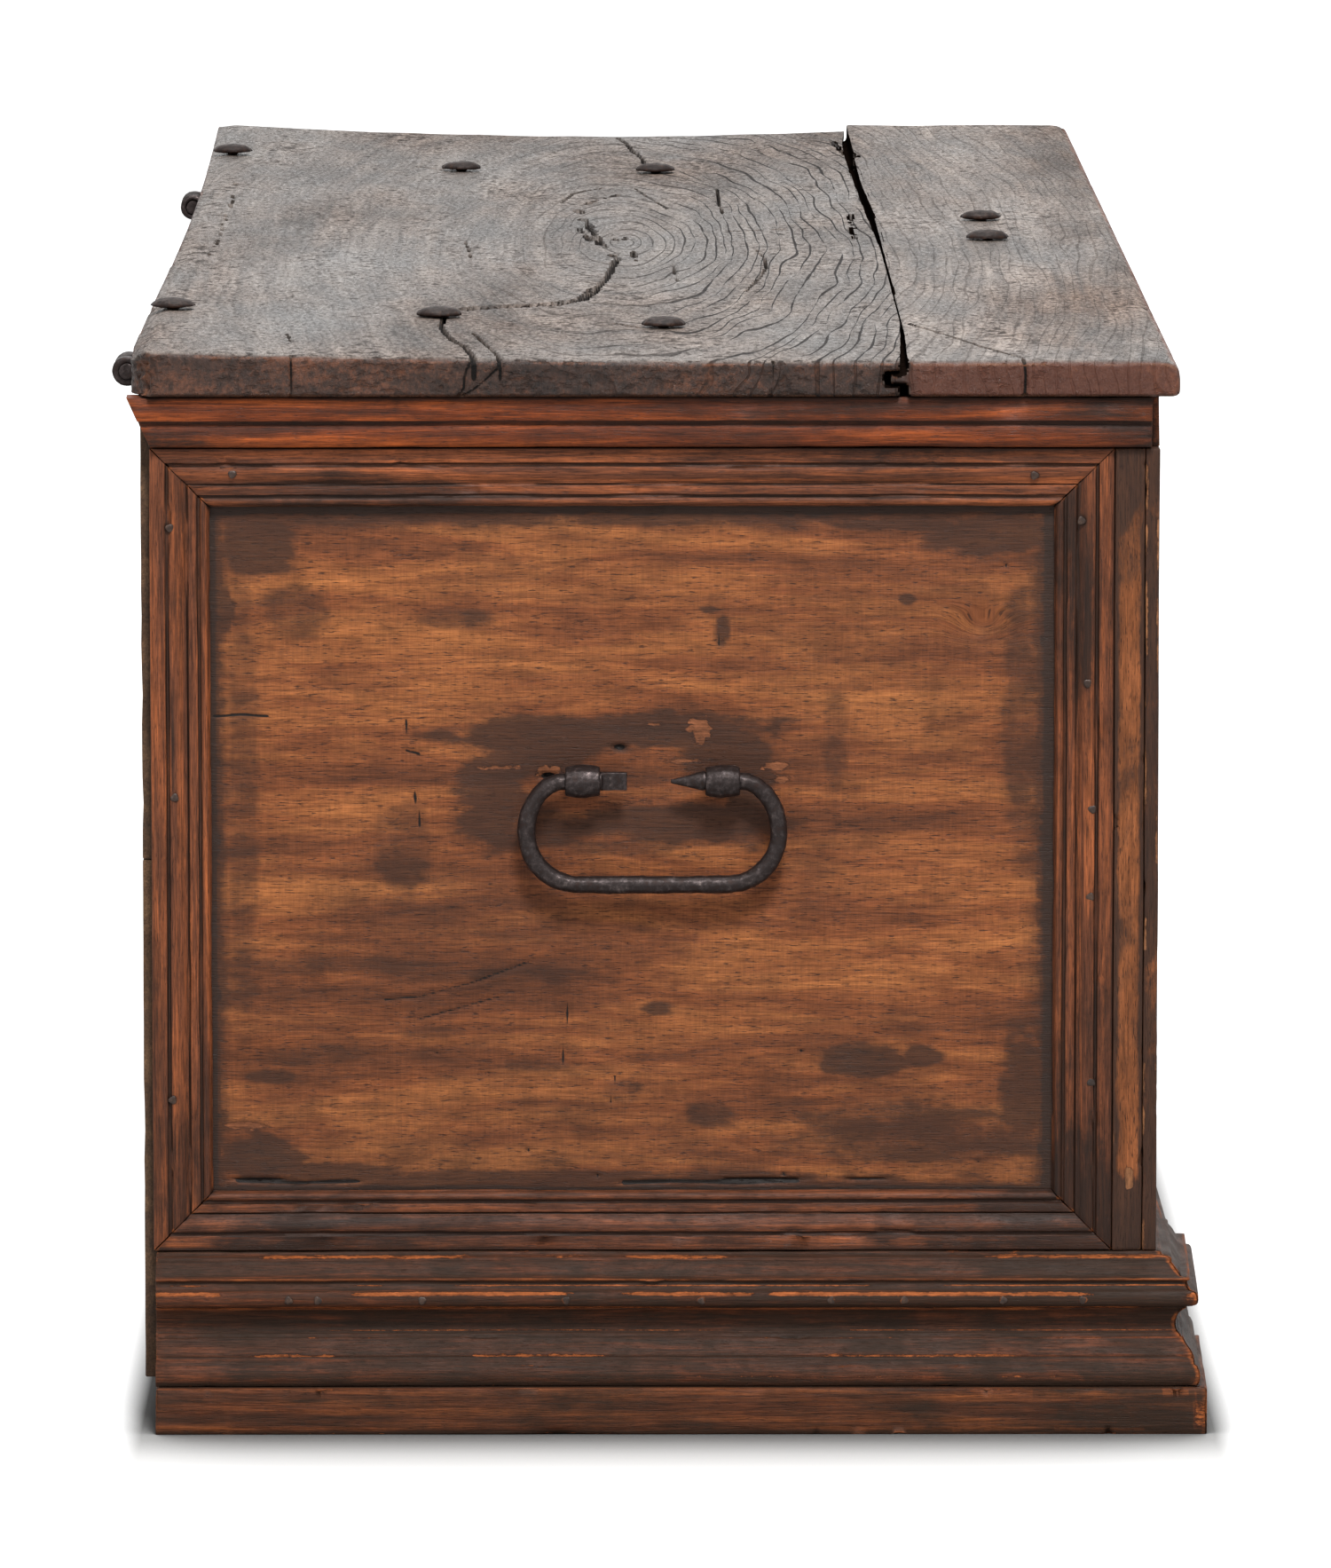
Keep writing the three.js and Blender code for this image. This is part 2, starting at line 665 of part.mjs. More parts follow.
// The lid: local z = 0 is its underside
function makeLid() {
  const group = new THREE.Group();
  group.position.z = lidUnderside;
  const stations = lidStations();
  const groove = { low: tongueHeight - seam, high: tongueHeight + tongueThick + seam };

  // Back board, drawn with its top at height 1: the top is set from lidThick at each station
  const back = new THREE.Shape();
  back.moveTo(lidJoint, 0);
  back.lineTo(lidBack, 0);
  back.lineTo(lidBack, backBoardThick);
  const cupEnd = lidBack - backArrisWidth;
  for (let i = cupSteps; i >= 0; i--) back.lineTo(lerp(lidJoint, cupEnd, i / cupSteps), backBoardThick);
  back.lineTo(lidJoint, groove.high);
  back.lineTo(lidJoint + tongueReach + seam, groove.high);
  back.lineTo(lidJoint + tongueReach + seam, groove.low);
  back.lineTo(lidJoint, groove.low);
  const reach = lidBack - lidJoint;
  let backBoard = solid(
    carried(back, stations.length, (y, z, k) => {
      const x = stations[k];
      const across = (y - lidJoint) / reach;
      const bow = backEdgeHollow * Math.sin(Math.PI * alongShare(x));
      const shift = lerp(jointGap(x), 0, clamp(across * cupSteps, 0, 1)) - bow * clamp(across, 0, 1) ** 2;
      const worn = y > cupEnd + overrun ? arrisDrop(x) : 0;
      const top = z > groove.high + seam ? lidThick(x, y) - Math.max(endDrop(x), worn) : z;
      return [x, y + shift, top];
    }),
  );

  // Front board, with a rounded nose and the tongue
  const front = new THREE.Shape();
  front.moveTo(lidFront + noseUnderRadius, 0);
  front.lineTo(lidJoint, 0);
  front.lineTo(lidJoint, tongueHeight);
  front.lineTo(lidJoint + tongueReach, tongueHeight);
  front.lineTo(lidJoint + tongueReach, tongueHeight + tongueThick);
  front.lineTo(lidJoint, tongueHeight + tongueThick);
  front.lineTo(lidJoint, frontBoardThick);
  front.lineTo(lidFront + noseRadius, frontBoardThick);
  front.quadraticCurveTo(lidFront, frontBoardThick, lidFront, frontBoardThick - noseRadius);
  front.lineTo(lidFront, noseUnderRadius);
  front.quadraticCurveTo(lidFront, 0, lidFront + noseUnderRadius, 0);
  let frontBoard = solid(
    carried(front, stations.length, (y, z, k) => {
      const x = stations[k];
      const rise = z > tongueHeight + tongueThick ? lidThick(x, lidFront) - frontBoardThick : 0;
      const drop = z > tongueHeight + tongueThick ? endDrop(x) : 0;
      return [x, y, z + rise - drop];
    }),
  );

  const nailHole = (nail) => {
    const hole = rod("z", nailShankRadius + seam, -overrun, backBoardThick + overrun);
    return solid(hole.translate(nail.x, nail.y, 0));
  };
  for (const side of ["left", "right"]) {
    const nails = strapNails(side);
    nails.forEach((nail) => (backBoard = backBoard.subtract(nailHole(nail))));
    group.add(piece(`hinge_strap_lid_${side}`, makeLidStrap(side, nails), iron));
    group.add(makeCleat(side));
  }
  const nails = keeperNails();
  nails.forEach((nail) => (frontBoard = frontBoard.subtract(nailHole(nail))));
  group.add(piece("lock_keeper", makeKeeper(nails), iron));
  group.add(piece("lid_board_back", backBoard, lidWalnut));
  group.add(piece("lid_board_front", frontBoard, lidWalnut));
  return group;
}

// A moulded cleat under one end of the lid, with its back end cut on a slant
function makeCleat(side) {
  const section = outline(cleatOutlineShares, cleatThick, cleatHeight);
  const out = side === "left" ? -1 : 1;
  const cleat = carried(section, 2, (proud, height, end) => {
    const slant = cleatBackSlant * (1 - height / cleatHeight);
    const y = end ? backFace + cleatBackReach - slant : frontFace - cleatFrontReach;
    return [out * (halfBody + cleatClear + proud), y, height - cleatHeight - seam];
  });
  return piece(`lid_cleat_${side}`, cleat, darkWalnut);
}

// A nail driven down through the lid, its domed head on the top
function nail({ x, y }, underside) {
  const seat = Math.max(lidThick(x, y - nailHeadRadius), lidThick(x, y + nailHeadRadius)) + seam;
  const points = nailHeadShares.map(([out, up]) => {
    return new THREE.Vector2(out * nailHeadRadius, seat + up * nailHeadHeight);
  });
  const head = new THREE.LatheGeometry(points, rodSides).rotateX(Math.PI / 2);
  const shank = rod("z", nailShankRadius, underside, seat + seam);
  return solid(head).add(solid(shank)).translate([x, y, 0]);
}

function strapNails(side) {
  const middle = side === "left" ? -hingeX : hingeX;
  return strapNailShares[side].map(([along, across]) => ({
    x: middle - across * strapSkew,
    y: hingeY - along * strapLength,
  }));
}

// The strap's middle line swings easily from one nail to the next
function strapMiddle(nails, y) {
  const k = nails.findIndex((n) => y > n.y);
  if (k === 0) return nails[0].x;
  if (k < 0) return nails[nails.length - 1].x;
  const step = (nails[k - 1].y - y) / (nails[k - 1].y - nails[k].y);
  return lerp(nails[k - 1].x, nails[k].x, THREE.MathUtils.smoothstep(step, 0, 1));
}

// The lid's strap: knuckle, tongue, a swept plate under the boards, and its three nails
function makeLidStrap(side, nails) {
  const middle = side === "left" ? -hingeX : hingeX;
  const level = { low: -seam - strapThick, high: -seam };
  const plateStart = backFace - hingeY + seam;
  const spots = [];
  for (let i = 0; i <= strapSlices; i++) {
    const y = lerp(hingeY + plateStart, hingeY - strapLength, i / strapSlices);
    spots.push(new THREE.Vector2(strapMiddle(nails, y), y));
  }
  const width = (i) => lerp(strapWidth, strapTipWidth, i / strapSlices) / 2;
  const shape = new THREE.Shape();
  spots.forEach((p, i) => (i ? shape.lineTo(p.x - width(i), p.y) : shape.moveTo(p.x - width(i), p.y)));
  const end = spots[spots.length - 1];
  shape.quadraticCurveTo(end.x, end.y - strapTipWidth, end.x + width(strapSlices), end.y);
  for (let i = strapSlices - 1; i >= 0; i--) shape.lineTo(spots[i].x + width(i), spots[i].y);
  const plate = new THREE.ExtrudeGeometry(shape, {
    depth: strapThick,
    bevelEnabled: false,
    curveSegments: curveSteps,
  });
  plate.translate(0, 0, level.low);
  const half = knuckleWidth / 2;
  const tongueFrom = hingeY + plateStart - overrun;
  const tongue = block(middle - half, middle + half, tongueFrom, hingeY, level.low, level.high);
  const axisLevel = hingeZ - lidUnderside;
  const barrel = solid(rod("x", knuckleRadius, middle - half, middle + half));
  const bore = rod("x", pinRadius + pinBoreGap, middle - half - overrun, middle + half + overrun);
  const place = [0, hingeY, axisLevel];
  let strap = solid(plate).add(solid(tongue)).add(barrel.translate(place));
  strap = strap.subtract(solid(bore).translate(place));
  for (const spot of nails) strap = strap.add(nail(spot, level.low));
  return strap;
}

// The back's strap: a plate down the back plank, jogged out to a fork of two knuckles
function makeBackStrap() {
  const near = seam - hingeOffset;
  const far = near + strapThick;
  const lift = -knuckleRadius;
  const side = new THREE.Shape();
  const bendLow = lift - backStrapJog;
  side.moveTo(near, -backStrapLength);
  side.lineTo(far, -backStrapLength);
  side.lineTo(far, bendLow - strapThick / 2);
  side.lineTo(-knuckleRadius + strapThick, lift / 2);
  side.lineTo(-knuckleRadius + strapThick, 0);
  side.lineTo(-knuckleRadius, 0);
  side.lineTo(-knuckleRadius, lift / 2);
  side.lineTo(near, bendLow);
  const plate = carried(side, 2, (y, z, end) => [end ? strapWidth / 2 : -strapWidth / 2, y, z]);
  let strap = solid(plate);
  const inner = knuckleWidth / 2 + knuckleGap;
  for (const s of [-1, 1]) {
    const [a, b] = [s * inner, s * (inner + forkWidth)].sort((p, q) => p - q);
    strap = strap.add(solid(rod("x", knuckleRadius, a, b)));
  }
  const long = inner + forkWidth + overrun;
  strap = strap.subtract(solid(rod("x", pinRadius + seam, -long, long)));
  const throatLow = -knuckleRadius - strapThick;
  const throat = block(-inner, inner, -hingeOffset, knuckleRadius, throatLow, knuckleRadius);
  return strap.subtract(solid(throat));
}

// Hinge parts that stay with the carcase, round the pin's axis
function makeHinge(side) {
  const group = new THREE.Group();
  group.position.set(side === "left" ? -hingeX : hingeX, hingeY, hingeZ);
  group.add(piece(`hinge_strap_back_${side}`, makeBackStrap(), iron));
  const end = knuckleWidth / 2 + knuckleGap + forkWidth + seam;
  const shank = solid(rod("x", pinRadius, -end - pinHead, end + pinHead));
  const left = solid(rod("x", pinRadius + pinHead / 2, -end - pinHead, -end));
  const right = solid(rod("x", pinRadius + pinHead / 2, end, end + pinHead));
  group.add(piece(`hinge_pin_${side}`, shank.add(left).add(right), iron));
  return group;
}

function keeperNails() {
  const y = lidFront + keeperNailInset;
  return [-keeperNailSpacing / 2, keeperNailSpacing / 2].map((x) => ({ x, y }));
}

const stapleY = frontFace + frontThick + seam + lockDepth / 2;

// Keeper: a plate under the lid with a staple that drops into the lock
function makeKeeper(nails) {
  const back = nails[0].y + keeperNailEdge;
  const level = -seam - keeperThick;
  const half = keeperLength / 2;
  let keeper = solid(block(-half, half, back - keeperWidth, back, level, -seam));
  const wide = stapleWidth / 2;
  const deep = stapleThick / 2;
  const staple = block(-wide, wide, stapleY - deep, stapleY + deep, level - stapleDrop, level + seam);
  const eyeLow = level - stapleDrop + (stapleDrop - stapleEye) / 2;
  const eyeSide = stapleEye / 2;
  const eyeDeep = deep + overrun;
  const eye = block(-eyeSide, eyeSide, stapleY - eyeDeep, stapleY + eyeDeep, eyeLow, eyeLow + stapleEye);
  keeper = keeper.add(solid(staple)).subtract(solid(eye));
  for (const spot of nails) keeper = keeper.add(nail(spot, level));
  return keeper;
}

// Lock case behind the front plank, with a pocket in its top for the staple
function makeLock() {
  const y = frontFace + frontThick + seam;
  const top = rim - keeperThick - lockTopGap;
  const half = lockLength / 2;
  const wide = stapleWidth / 2 + lockPocketGap;
  const deep = stapleThick / 2 + lockPocketGap;
  const box = solid(block(-half, half, y, y + lockDepth, top - lockHeight, top));
  const pocket = block(-wide, wide, stapleY - deep, stapleY + deep, top - lockPocket, top + overrun);
  return piece("lock_case", box.subtract(solid(pocket)), iron);
}

const cassone = new THREE.Group();
cassone.add(makeCarcase());
cassone.add(makeLid());
cassone.add(makeLock());
for (const side of ["left", "right"]) cassone.add(makeHinge(side));

export default cassone;
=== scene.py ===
import json
import math
from functools import partial

import bmesh
import bpy
import numpy as np
from mathutils import Matrix, Vector


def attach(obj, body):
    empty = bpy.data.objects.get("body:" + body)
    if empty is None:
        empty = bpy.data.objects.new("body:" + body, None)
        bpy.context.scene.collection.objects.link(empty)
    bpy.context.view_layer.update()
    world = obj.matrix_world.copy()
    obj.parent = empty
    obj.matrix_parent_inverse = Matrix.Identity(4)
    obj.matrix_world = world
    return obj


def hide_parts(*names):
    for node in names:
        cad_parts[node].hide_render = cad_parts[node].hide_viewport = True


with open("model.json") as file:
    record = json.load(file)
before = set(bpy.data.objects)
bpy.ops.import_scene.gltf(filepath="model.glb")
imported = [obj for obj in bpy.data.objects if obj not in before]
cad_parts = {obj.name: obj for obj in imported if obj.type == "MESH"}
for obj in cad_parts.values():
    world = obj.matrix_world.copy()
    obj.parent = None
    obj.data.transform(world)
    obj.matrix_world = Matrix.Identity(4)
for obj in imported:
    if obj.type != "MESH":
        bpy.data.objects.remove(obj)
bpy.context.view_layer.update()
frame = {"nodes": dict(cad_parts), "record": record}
nodes = frame["nodes"]
bodyOf = {}
for body, members in frame["record"]["behaviour"]["bodies"].items():
    for member in members:
        bodyOf[member] = body
slotOf = {part["node"]: part["material_slot"] for part in frame["record"]["subparts"]}
mm = 0.001
print("frame loaded:", len(nodes), "nodes")


# small tools for meshes
def read(items, name):
    # one vector for each vertex or face, such as its "co" or its "normal"
    flat = np.empty(len(items) * 3, np.float32)
    items.foreach_get(name, flat)
    return flat.reshape(-1, 3).astype(float)


def writePoints(mesh, points):
    mesh.vertices.foreach_set("co", points.astype(np.float32).ravel())
    mesh.update()


def paint(mesh, **fields):
    for name, values in fields.items():
        layer = mesh.attributes.get(name) or mesh.attributes.new(name, "FLOAT", "POINT")
        layer.data.foreach_set("value", np.clip(values, 0, 1).astype(np.float32))


def lattice(points, seed):
    # smooth lattice noise, 0 to 1, one value for each point; the lattice is 1 unit wide
    cell = np.floor(points).astype(np.int64)
    part = points - cell
    part = part * part * (3 - 2 * part)

    def corner(dx, dy, dz):
        n = (cell[:, 0] + dx) * 73856093 ^ (cell[:, 1] + dy) * 19349663 ^ (cell[:, 2] + dz) * 83492791
        n = ((n ^ (seed * 668265263)) * 1274126177) & 0xFFFFFFFF
        n = ((n ^ (n >> 15)) * 2246822519) & 0xFFFFFFFF
        return ((n ^ (n >> 13)) & 0xFFFF) / 65535

    x, y, z = part[:, 0], part[:, 1], part[:, 2]
    low = (corner(0, 0, 0) * (1 - x) + corner(1, 0, 0) * x) * (1 - y)
    low += (corner(0, 1, 0) * (1 - x) + corner(1, 1, 0) * x) * y
    high = (corner(0, 0, 1) * (1 - x) + corner(1, 0, 1) * x) * (1 - y)
    high += (corner(0, 1, 1) * (1 - x) + corner(1, 1, 1) * x) * y
    return low * (1 - z) + high * z


def cloud(points, size, seed, layers=3):
    # size is the width of the largest lumps, in millimetres, or three widths for X, Y and Z
    scaled = points / (np.array(size, float) * mm)
    total = sum(lattice(scaled * 2**k + 7.3 * k, seed + k) * 0.5**k for k in range(layers))
    return total / sum(0.5**k for k in range(layers))


def smooth(value, low, high):
    t = np.clip((value - low) / (high - low), 0, 1)
    return t * t * (3 - 2 * t)


def wander(points):
    # hand-planed pieces are never quite straight: one slow drift that neighbours share
    drift = np.stack([cloud(points, 260, seed, 2) - 0.5 for seed in (11, 23, 37)], axis=1)
    return drift * 1.1 * mm


def byGrain(axis, along, across=1.0):
    # three values, one for the grain's own axis and another for the two across it
    return tuple(along if letter == axis else across for letter in "XYZ")


def lineDistance(points, line):
    # distance in a plane from each point to a bent line, both as pairs of millimetres
    best = np.full(len(points), 1e9)
    for a, b in zip(line[:-1], line[1:]):
        a, b = np.array(a, float), np.array(b, float)
        run = b - a
        t = np.clip(((points - a) @ run) / max(run @ run, 1e-9), 0, 1)
        best = np.minimum(best, np.linalg.norm(points - a - t[:, None] * run, axis=1))
    return best


def spotDistance(y, z, spot):
    # 0 at the middle of an oval spot and 1 at its edge; a spot is its centre Y and Z and its half widths
    return np.hypot((y - spot[0]) / spot[2], (z - spot[1]) / spot[3])


def lineField(points, line, half):
    # 0.5 on the edge of a line of the given half width, rising inside it and falling outside, 4 mm for 1
    return np.clip(0.5 + (half - lineDistance(points, line)) / 4, 0, 1)


def placed(name, data):
    thing = bpy.data.objects.new(name, data)
    bpy.context.scene.collection.objects.link(thing)
    return thing


def mergedBmesh(node):
    bm = bmesh.new()
    bm.from_mesh(nodes[node].data)
    bmesh.ops.remove_doubles(bm, verts=bm.verts, dist=1e-6)
    return bm


def remeshed(node, voxel, stretch=(1, 1, 1), ease=0):
    # even fine faces over the node's own shape; stretch makes them longer along one axis
    mesh = bpy.data.meshes.new(node + "_fine")
    bm = mergedBmesh(node)
    bm.to_mesh(mesh)
    bm.free()
    mesh.transform(Matrix.Diagonal((1 / stretch[0], 1 / stretch[1], 1 / stretch[2], 1)))
    holder = placed("holder", mesh)
    fine = holder.modifiers.new("fine", "REMESH")
    fine.mode = "VOXEL"
    fine.voxel_size = voxel * mm
    if ease:
        soft = holder.modifiers.new("soft", "SMOOTH")
        soft.factor = 0.5
        soft.iterations = ease
    made = bpy.data.meshes.new_from_object(holder.evaluated_get(bpy.context.evaluated_depsgraph_get()))
    made.transform(Matrix.Diagonal((*stretch, 1)))
    bpy.data.objects.remove(holder)
    return made


def stand(name, mesh, node, materials, sharp=40):
    # the finished piece takes the node's place and moves with its body
    mesh.materials.clear()
    for material in materials:
        mesh.materials.append(material)
    mesh.shade_smooth()
    mesh.set_sharp_from_angle(angle=math.radians(sharp))
    piece = placed(name, mesh)
    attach(piece, bodyOf[node])
    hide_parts(node)


# materials
def linear(hexColour):
    parts = [int(hexColour[k:k + 2], 16) / 255 for k in (1, 3, 5)]
    return [c / 12.92 if c <= 0.04045 else ((c + 0.055) / 1.055) ** 2.4 for c in parts] + [1]


def fill(node, values):
    # an input takes a number, a written colour or another node's output; None leaves it alone
    for key, value in values.items():
        if isinstance(value, bpy.types.NodeSocket):
            node.id_data.links.new(value, node.inputs[key])
        elif value is not None:
            node.inputs[key].default_value = linear(value) if isinstance(value, str) else value


def addNode(tree, kind, *inputs, give=None, stops=(), **named):
    # inputs come in order or by name, settings by name in small letters; it hands back one output
    node = tree.nodes.new("ShaderNode" + kind)
    for name in [name for name in named if name[0].islower()]:
        setattr(node, name, named.pop(name))
    opened = [k for k, socket in enumerate(node.inputs) if socket.enabled]
    fill(node, {**dict(zip(opened, inputs)), **named})
    if stops:
        ramp = node.color_ramp.elements
        for position, colour in stops[len(ramp):]:
            ramp.new(position)
        for stop, (position, colour) in zip(ramp, stops):
            stop.position = position
            stop.color = linear(colour)
    return node.outputs[give] if give else next(socket for socket in node.outputs if socket.enabled)


def newMaterial(name):
    material = bpy.data.materials.new(name)
    material.use_nodes = True
    tree = material.node_tree
    return material, partial(addNode, tree), tree.nodes["Principled BSDF"]


# settings that many nodes share: a colour laid over another, a colour shaded by a factor, a product plus a third
laid = {"data_type": "RGBA"}
shaded = {"data_type": "RGBA", "blend_type": "MULTIPLY"}
plus = {"operation": "MULTIPLY_ADD"}
larger = {"operation": "MAXIMUM"}


def oldWalnut(name, axis, look):
    # Walnut, planed by hand, then varnished and waxed for centuries: orange-brown fibres under a darker coat,
    # near-black dirt and painted shade in every recess, and a soft gloss where it has been rubbed.
    material, add, shader = newMaterial(name)
    coords = add("TexCoord", give="Object")
    if look.get("whole"):
        # fibres part round the knot
        knot = add("Attribute", attribute_name="knot", give="Fac")
        shift = add("VectorMath", (0, 0, 0.012), knot, operation="SCALE")
    else:
        # every piece is cut from a place of its own
        own = add("ObjectInfo", give="Random")
        shift = add("VectorMath", (3.1, 4.7, 5.3), own, operation="SCALE")
    moved = add("VectorMath", coords, shift, operation="ADD")
    drawn, thin, short, wide, blot, rag = [add("Mapping", moved, Scale=byGrain(axis, 1 / stretch))
                                           for stretch in (look["draw"], 26, 9, 2.4, 1.7, 3)]
    across = add("Mapping", moved, Scale=byGrain(axis, 1.0, 1 / 14))
    figure = add("TexNoise", drawn, 1000 / look["figureMm"], 8, 0.68, None, 0.5)
    fibre = add("TexNoise", thin, 1000 / look["fibreMm"], 4, 0.7)  # really 0.1 mm, drawn coarser to show
    hatch = add("TexNoise", across, 1000 / 1.1, 3, 0.7)  # fine scratches of cleaning, across the grain
    pore = add("TexNoise", short, 1000 / 0.7, 2, 0.5)  # open pores, really 0.2 mm, drawn coarser to show
    broad = add("TexNoise", wide, 1000 / look["cloudMm"], 7, 0.66, None, 0.6)
    mottle = add("TexNoise", blot, 1000 / look["mottleMm"], 5, 0.72, None, 0.4)
    streak = add("TexNoise", drawn, 1000 / look["streakMm"], 6, 0.74)
    torn = add("TexNoise", rag, 1000 / 3, 6, 0.8)
    grime, bare, crack = [add("Attribute", attribute_name=field, give="Fac")
                          for field in ("grime", "bare", "crack")]
    colour = add("ValToRGB", figure, stops=[(0.3, look["dark"]), (0.48, look["mid"]), (0.68, look["pale"])])
    fibreTone = add("MapRange", fibre, 0.34, 0.66, look["fibreLow"], look["fibreHigh"])
    hatchTone = add("MapRange", hatch, 0.35, 0.65, 1 - look["hatch"], 1 + look["hatch"])
    for tone in (fibreTone, hatchTone):
        colour = add("Mix", 1.0, colour, tone, **shaded)
    poreMask = add("MapRange", pore, 0.6, 0.68, 0.0, look["poreDepth"])
    colour = add("Mix", poreMask, colour, look["pore"], **laid)
    # dirt and painted shade: a broad cloud, mottling, streaks along the grain, what is painted on the mesh, and the
    # painted shade of every recess
    # painted shade: ambient occlusion darkens each recess in the dirt's colour
    recessShade = add("AmbientOcclusion", samples=6, Distance=look["recessMm"] * mm, give="AO")
    recessShade = add("MapRange", recessShade, 0.2, 0.95, look["recessShade"], 0.0)
    dirtAndShade = look["cloudBase"]
    for part, share in ((broad, look["cloud"]), (mottle, look["mottle"]), (streak, look["streak"]),
                        (fibre, look["wisps"]), (grime, 0.88), (recessShade, 1.0)):
        dirtAndShade = add("Math", part, share, dirtAndShade, **plus)
    dirtAndShade = add("MapRange", dirtAndShade, look["dirtAndShadeLow"], look["dirtAndShadeHigh"], 0.0, look["dirtAndShadeMost"])
    # stains and painted shade end in ragged wisps along the grain; where little is painted they break up into
    # flecks
    stainAndShade = -1.4
    for part, share in ((fibre, 0.8), (mottle, 0.7), (streak, 1.3), (grime, 1.0)):
        stainAndShade = add("Math", part, share, stainAndShade, **plus)
    stainAndShade = add("MapRange", stainAndShade, 0.42, 0.6, 0.0, look["stainAndShade"])
    dirtAndShade = add("Math", dirtAndShade, stainAndShade, **larger)
    dirtAndShadeTone = add("Mix", 1.0, look["dirtAndShade"], add("MapRange", fibre, 0.3, 0.7, 0.75, 1.25), **shaded)
    colour = add("Mix", dirtAndShade, colour, dirtAndShadeTone, **laid)
    # where most dirt and shade is painted, the colour goes nearly black: soot and wax lying thick, and the deepest
    # painted shade
    thick = add("Math", streak, 0.5, add("Math", grime, 1.0, -0.25, **plus), **plus)
    colour = add("Mix", add("MapRange", thick, 0.74, 0.96, 0.0, 0.75), colour, look["sootAndShade"], **laid)
    # flaked places: the painted field crosses 0.5 at its edge, which is roughened and has a dark rim
    ragged = add("Math", torn, look["ragged"], -look["ragged"] / 2, **plus)
    flake = add("Math", bare, ragged, operation="ADD")
    colour = add("Mix", add("MapRange", flake, 0.34, 0.47, 0.0, 0.6), colour, look["pore"], **laid)
    flake = add("MapRange", flake, 0.46, 0.56)
    if look["rubbed"]:
        # ridges and arrises are rubbed back to warmer wood, here and there along their length
        here = add("Math", streak, 2.0, add("Math", mottle, 1.6, -1.8, **plus), **plus)
        ridge = add("AmbientOcclusion", samples=6, inside=True, Distance=look["ridgeMm"] * mm, give="AO")
        ridge = add("Math", add("MapRange", ridge, 0.92, 0.55, -0.5, 1.0), 1.0, here, **plus)
        flake = add("Math", flake, add("MapRange", ridge, 0.75, 1.25, 0.0, look["rubbed"]), **larger)
    fresh = look["bare"]
    for tone in (add("MapRange", fibre, 0.3, 0.7, look["fibreLow"], 1.25),
                 add("MapRange", torn, 0.35, 0.65, 0.5, 1.2)):
        fresh = add("Mix", 1.0, fresh, tone, **shaded)
    colour = add("Mix", flake, colour, fresh, **laid)
    colour = add("Mix", add("MapRange", crack, 0.47, 0.56), colour, "#140d0a", **laid)
    gloss = add("MapRange", mottle, 0.35, 0.65, look["gloss"], look["gloss"] + 0.18)
    height = fibre
    for part, share in ((poreMask, -0.8), (figure, 1.2), (flake, -0.8)):
        height = add("Math", part, share, height, **plus)
    fill(shader, {"Base Color": colour, "Roughness": add("Math", flake, 0.12, gloss, **plus), "IOR": 1.48,
                  "Specular IOR Level": look["specular"],
                  "Normal": add("Bump", look["bump"], 0.6 * mm, Height=height)})
    return material


panelLook = {
    "pale": "#ab693a", "mid": "#7d4627", "dark": "#4b2a1a", "dirtAndShade": "#3a251b", "sootAndShade": "#2a211d", "pore": "#2a1812",
    "bare": "#8a5538",
    "figureMm": 22, "draw": 8, "fibreMm": 0.8, "fibreLow": 0.5, "fibreHigh": 1.42, "poreDepth": 0.8, "hatch": 0.12,
    "cloudMm": 120, "cloud": 1.0, "cloudBase": -0.93, "mottleMm": 17, "mottle": 0.8, "streakMm": 8, "streak": 0.7,
    "wisps": 0.6, "dirtAndShadeLow": 0.56, "dirtAndShadeHigh": 1.04, "dirtAndShadeMost": 0.88, "stainAndShade": 0.88, "recessMm": 9, "recessShade": 0.4,
    "ragged": 0.8, "rubbed": 0, "ridgeMm": 2, "gloss": 0.42, "specular": 0.2, "bump": 0.6,
}
stripLook = dict(panelLook, pale="#a4623a", mid="#7c4828", dark="#4d2e1e", dirtAndShade="#30231d", bare="#946443",
                 cloudMm=70, cloudBase=-0.99, mottle=0.9, mottleMm=16, figureMm=12, draw=9, dirtAndShadeHigh=0.85,
                 rubbed=0.5, hatch=0.03)
mouldingLook = {
    "pale": "#b06237", "mid": "#6f3f28", "dark": "#3d261c", "dirtAndShade": "#231914", "sootAndShade": "#231b17", "pore": "#1c110d",
    "bare": "#a65c2e",
    "figureMm": 6, "draw": 26, "fibreMm": 0.8, "fibreLow": 0.42, "fibreHigh": 1.5, "poreDepth": 0.5, "hatch": 0.03,
    "cloudMm": 100, "cloud": 1.0, "cloudBase": -0.74, "mottleMm": 18, "mottle": 0.5, "streakMm": 6, "streak": 0.9,
    "wisps": 0.2, "dirtAndShadeLow": 0.5, "dirtAndShadeHigh": 0.84, "dirtAndShadeMost": 0.92, "stainAndShade": 0.7, "recessMm": 3.5, "recessShade": 1.0,
    "ragged": 0.7, "rubbed": 0.75, "ridgeMm": 1.6, "gloss": 0.38, "specular": 0.2, "bump": 0.5,
}
cleatLook = dict(mouldingLook, pale="#ab5524", mid="#6d3317", dark="#3c1f13", cloudBase=-0.76, figureMm=10)
baseLook = dict(mouldingLook, pale="#9c5331", mid="#593423", dark="#32221a", dirtAndShade="#30251e", bare="#ac6034",
                cloudBase=-0.66, rubbed=0.85, ridgeMm=2.2, ragged=0.9, specular=0.12, gloss=0.42)
plinthLook = dict(baseLook, pale="#95552f", mid="#603724", cloudBase=-0.78, figureMm=9)
arrisLook = dict(mouldingLook, pale="#a05c34", mid="#704024", dark="#43271b", dirtAndShade="#2a1d18", recessShade=0.2,
                 cloud=1.3, cloudBase=-0.78, cloudMm=40, figureMm=4)
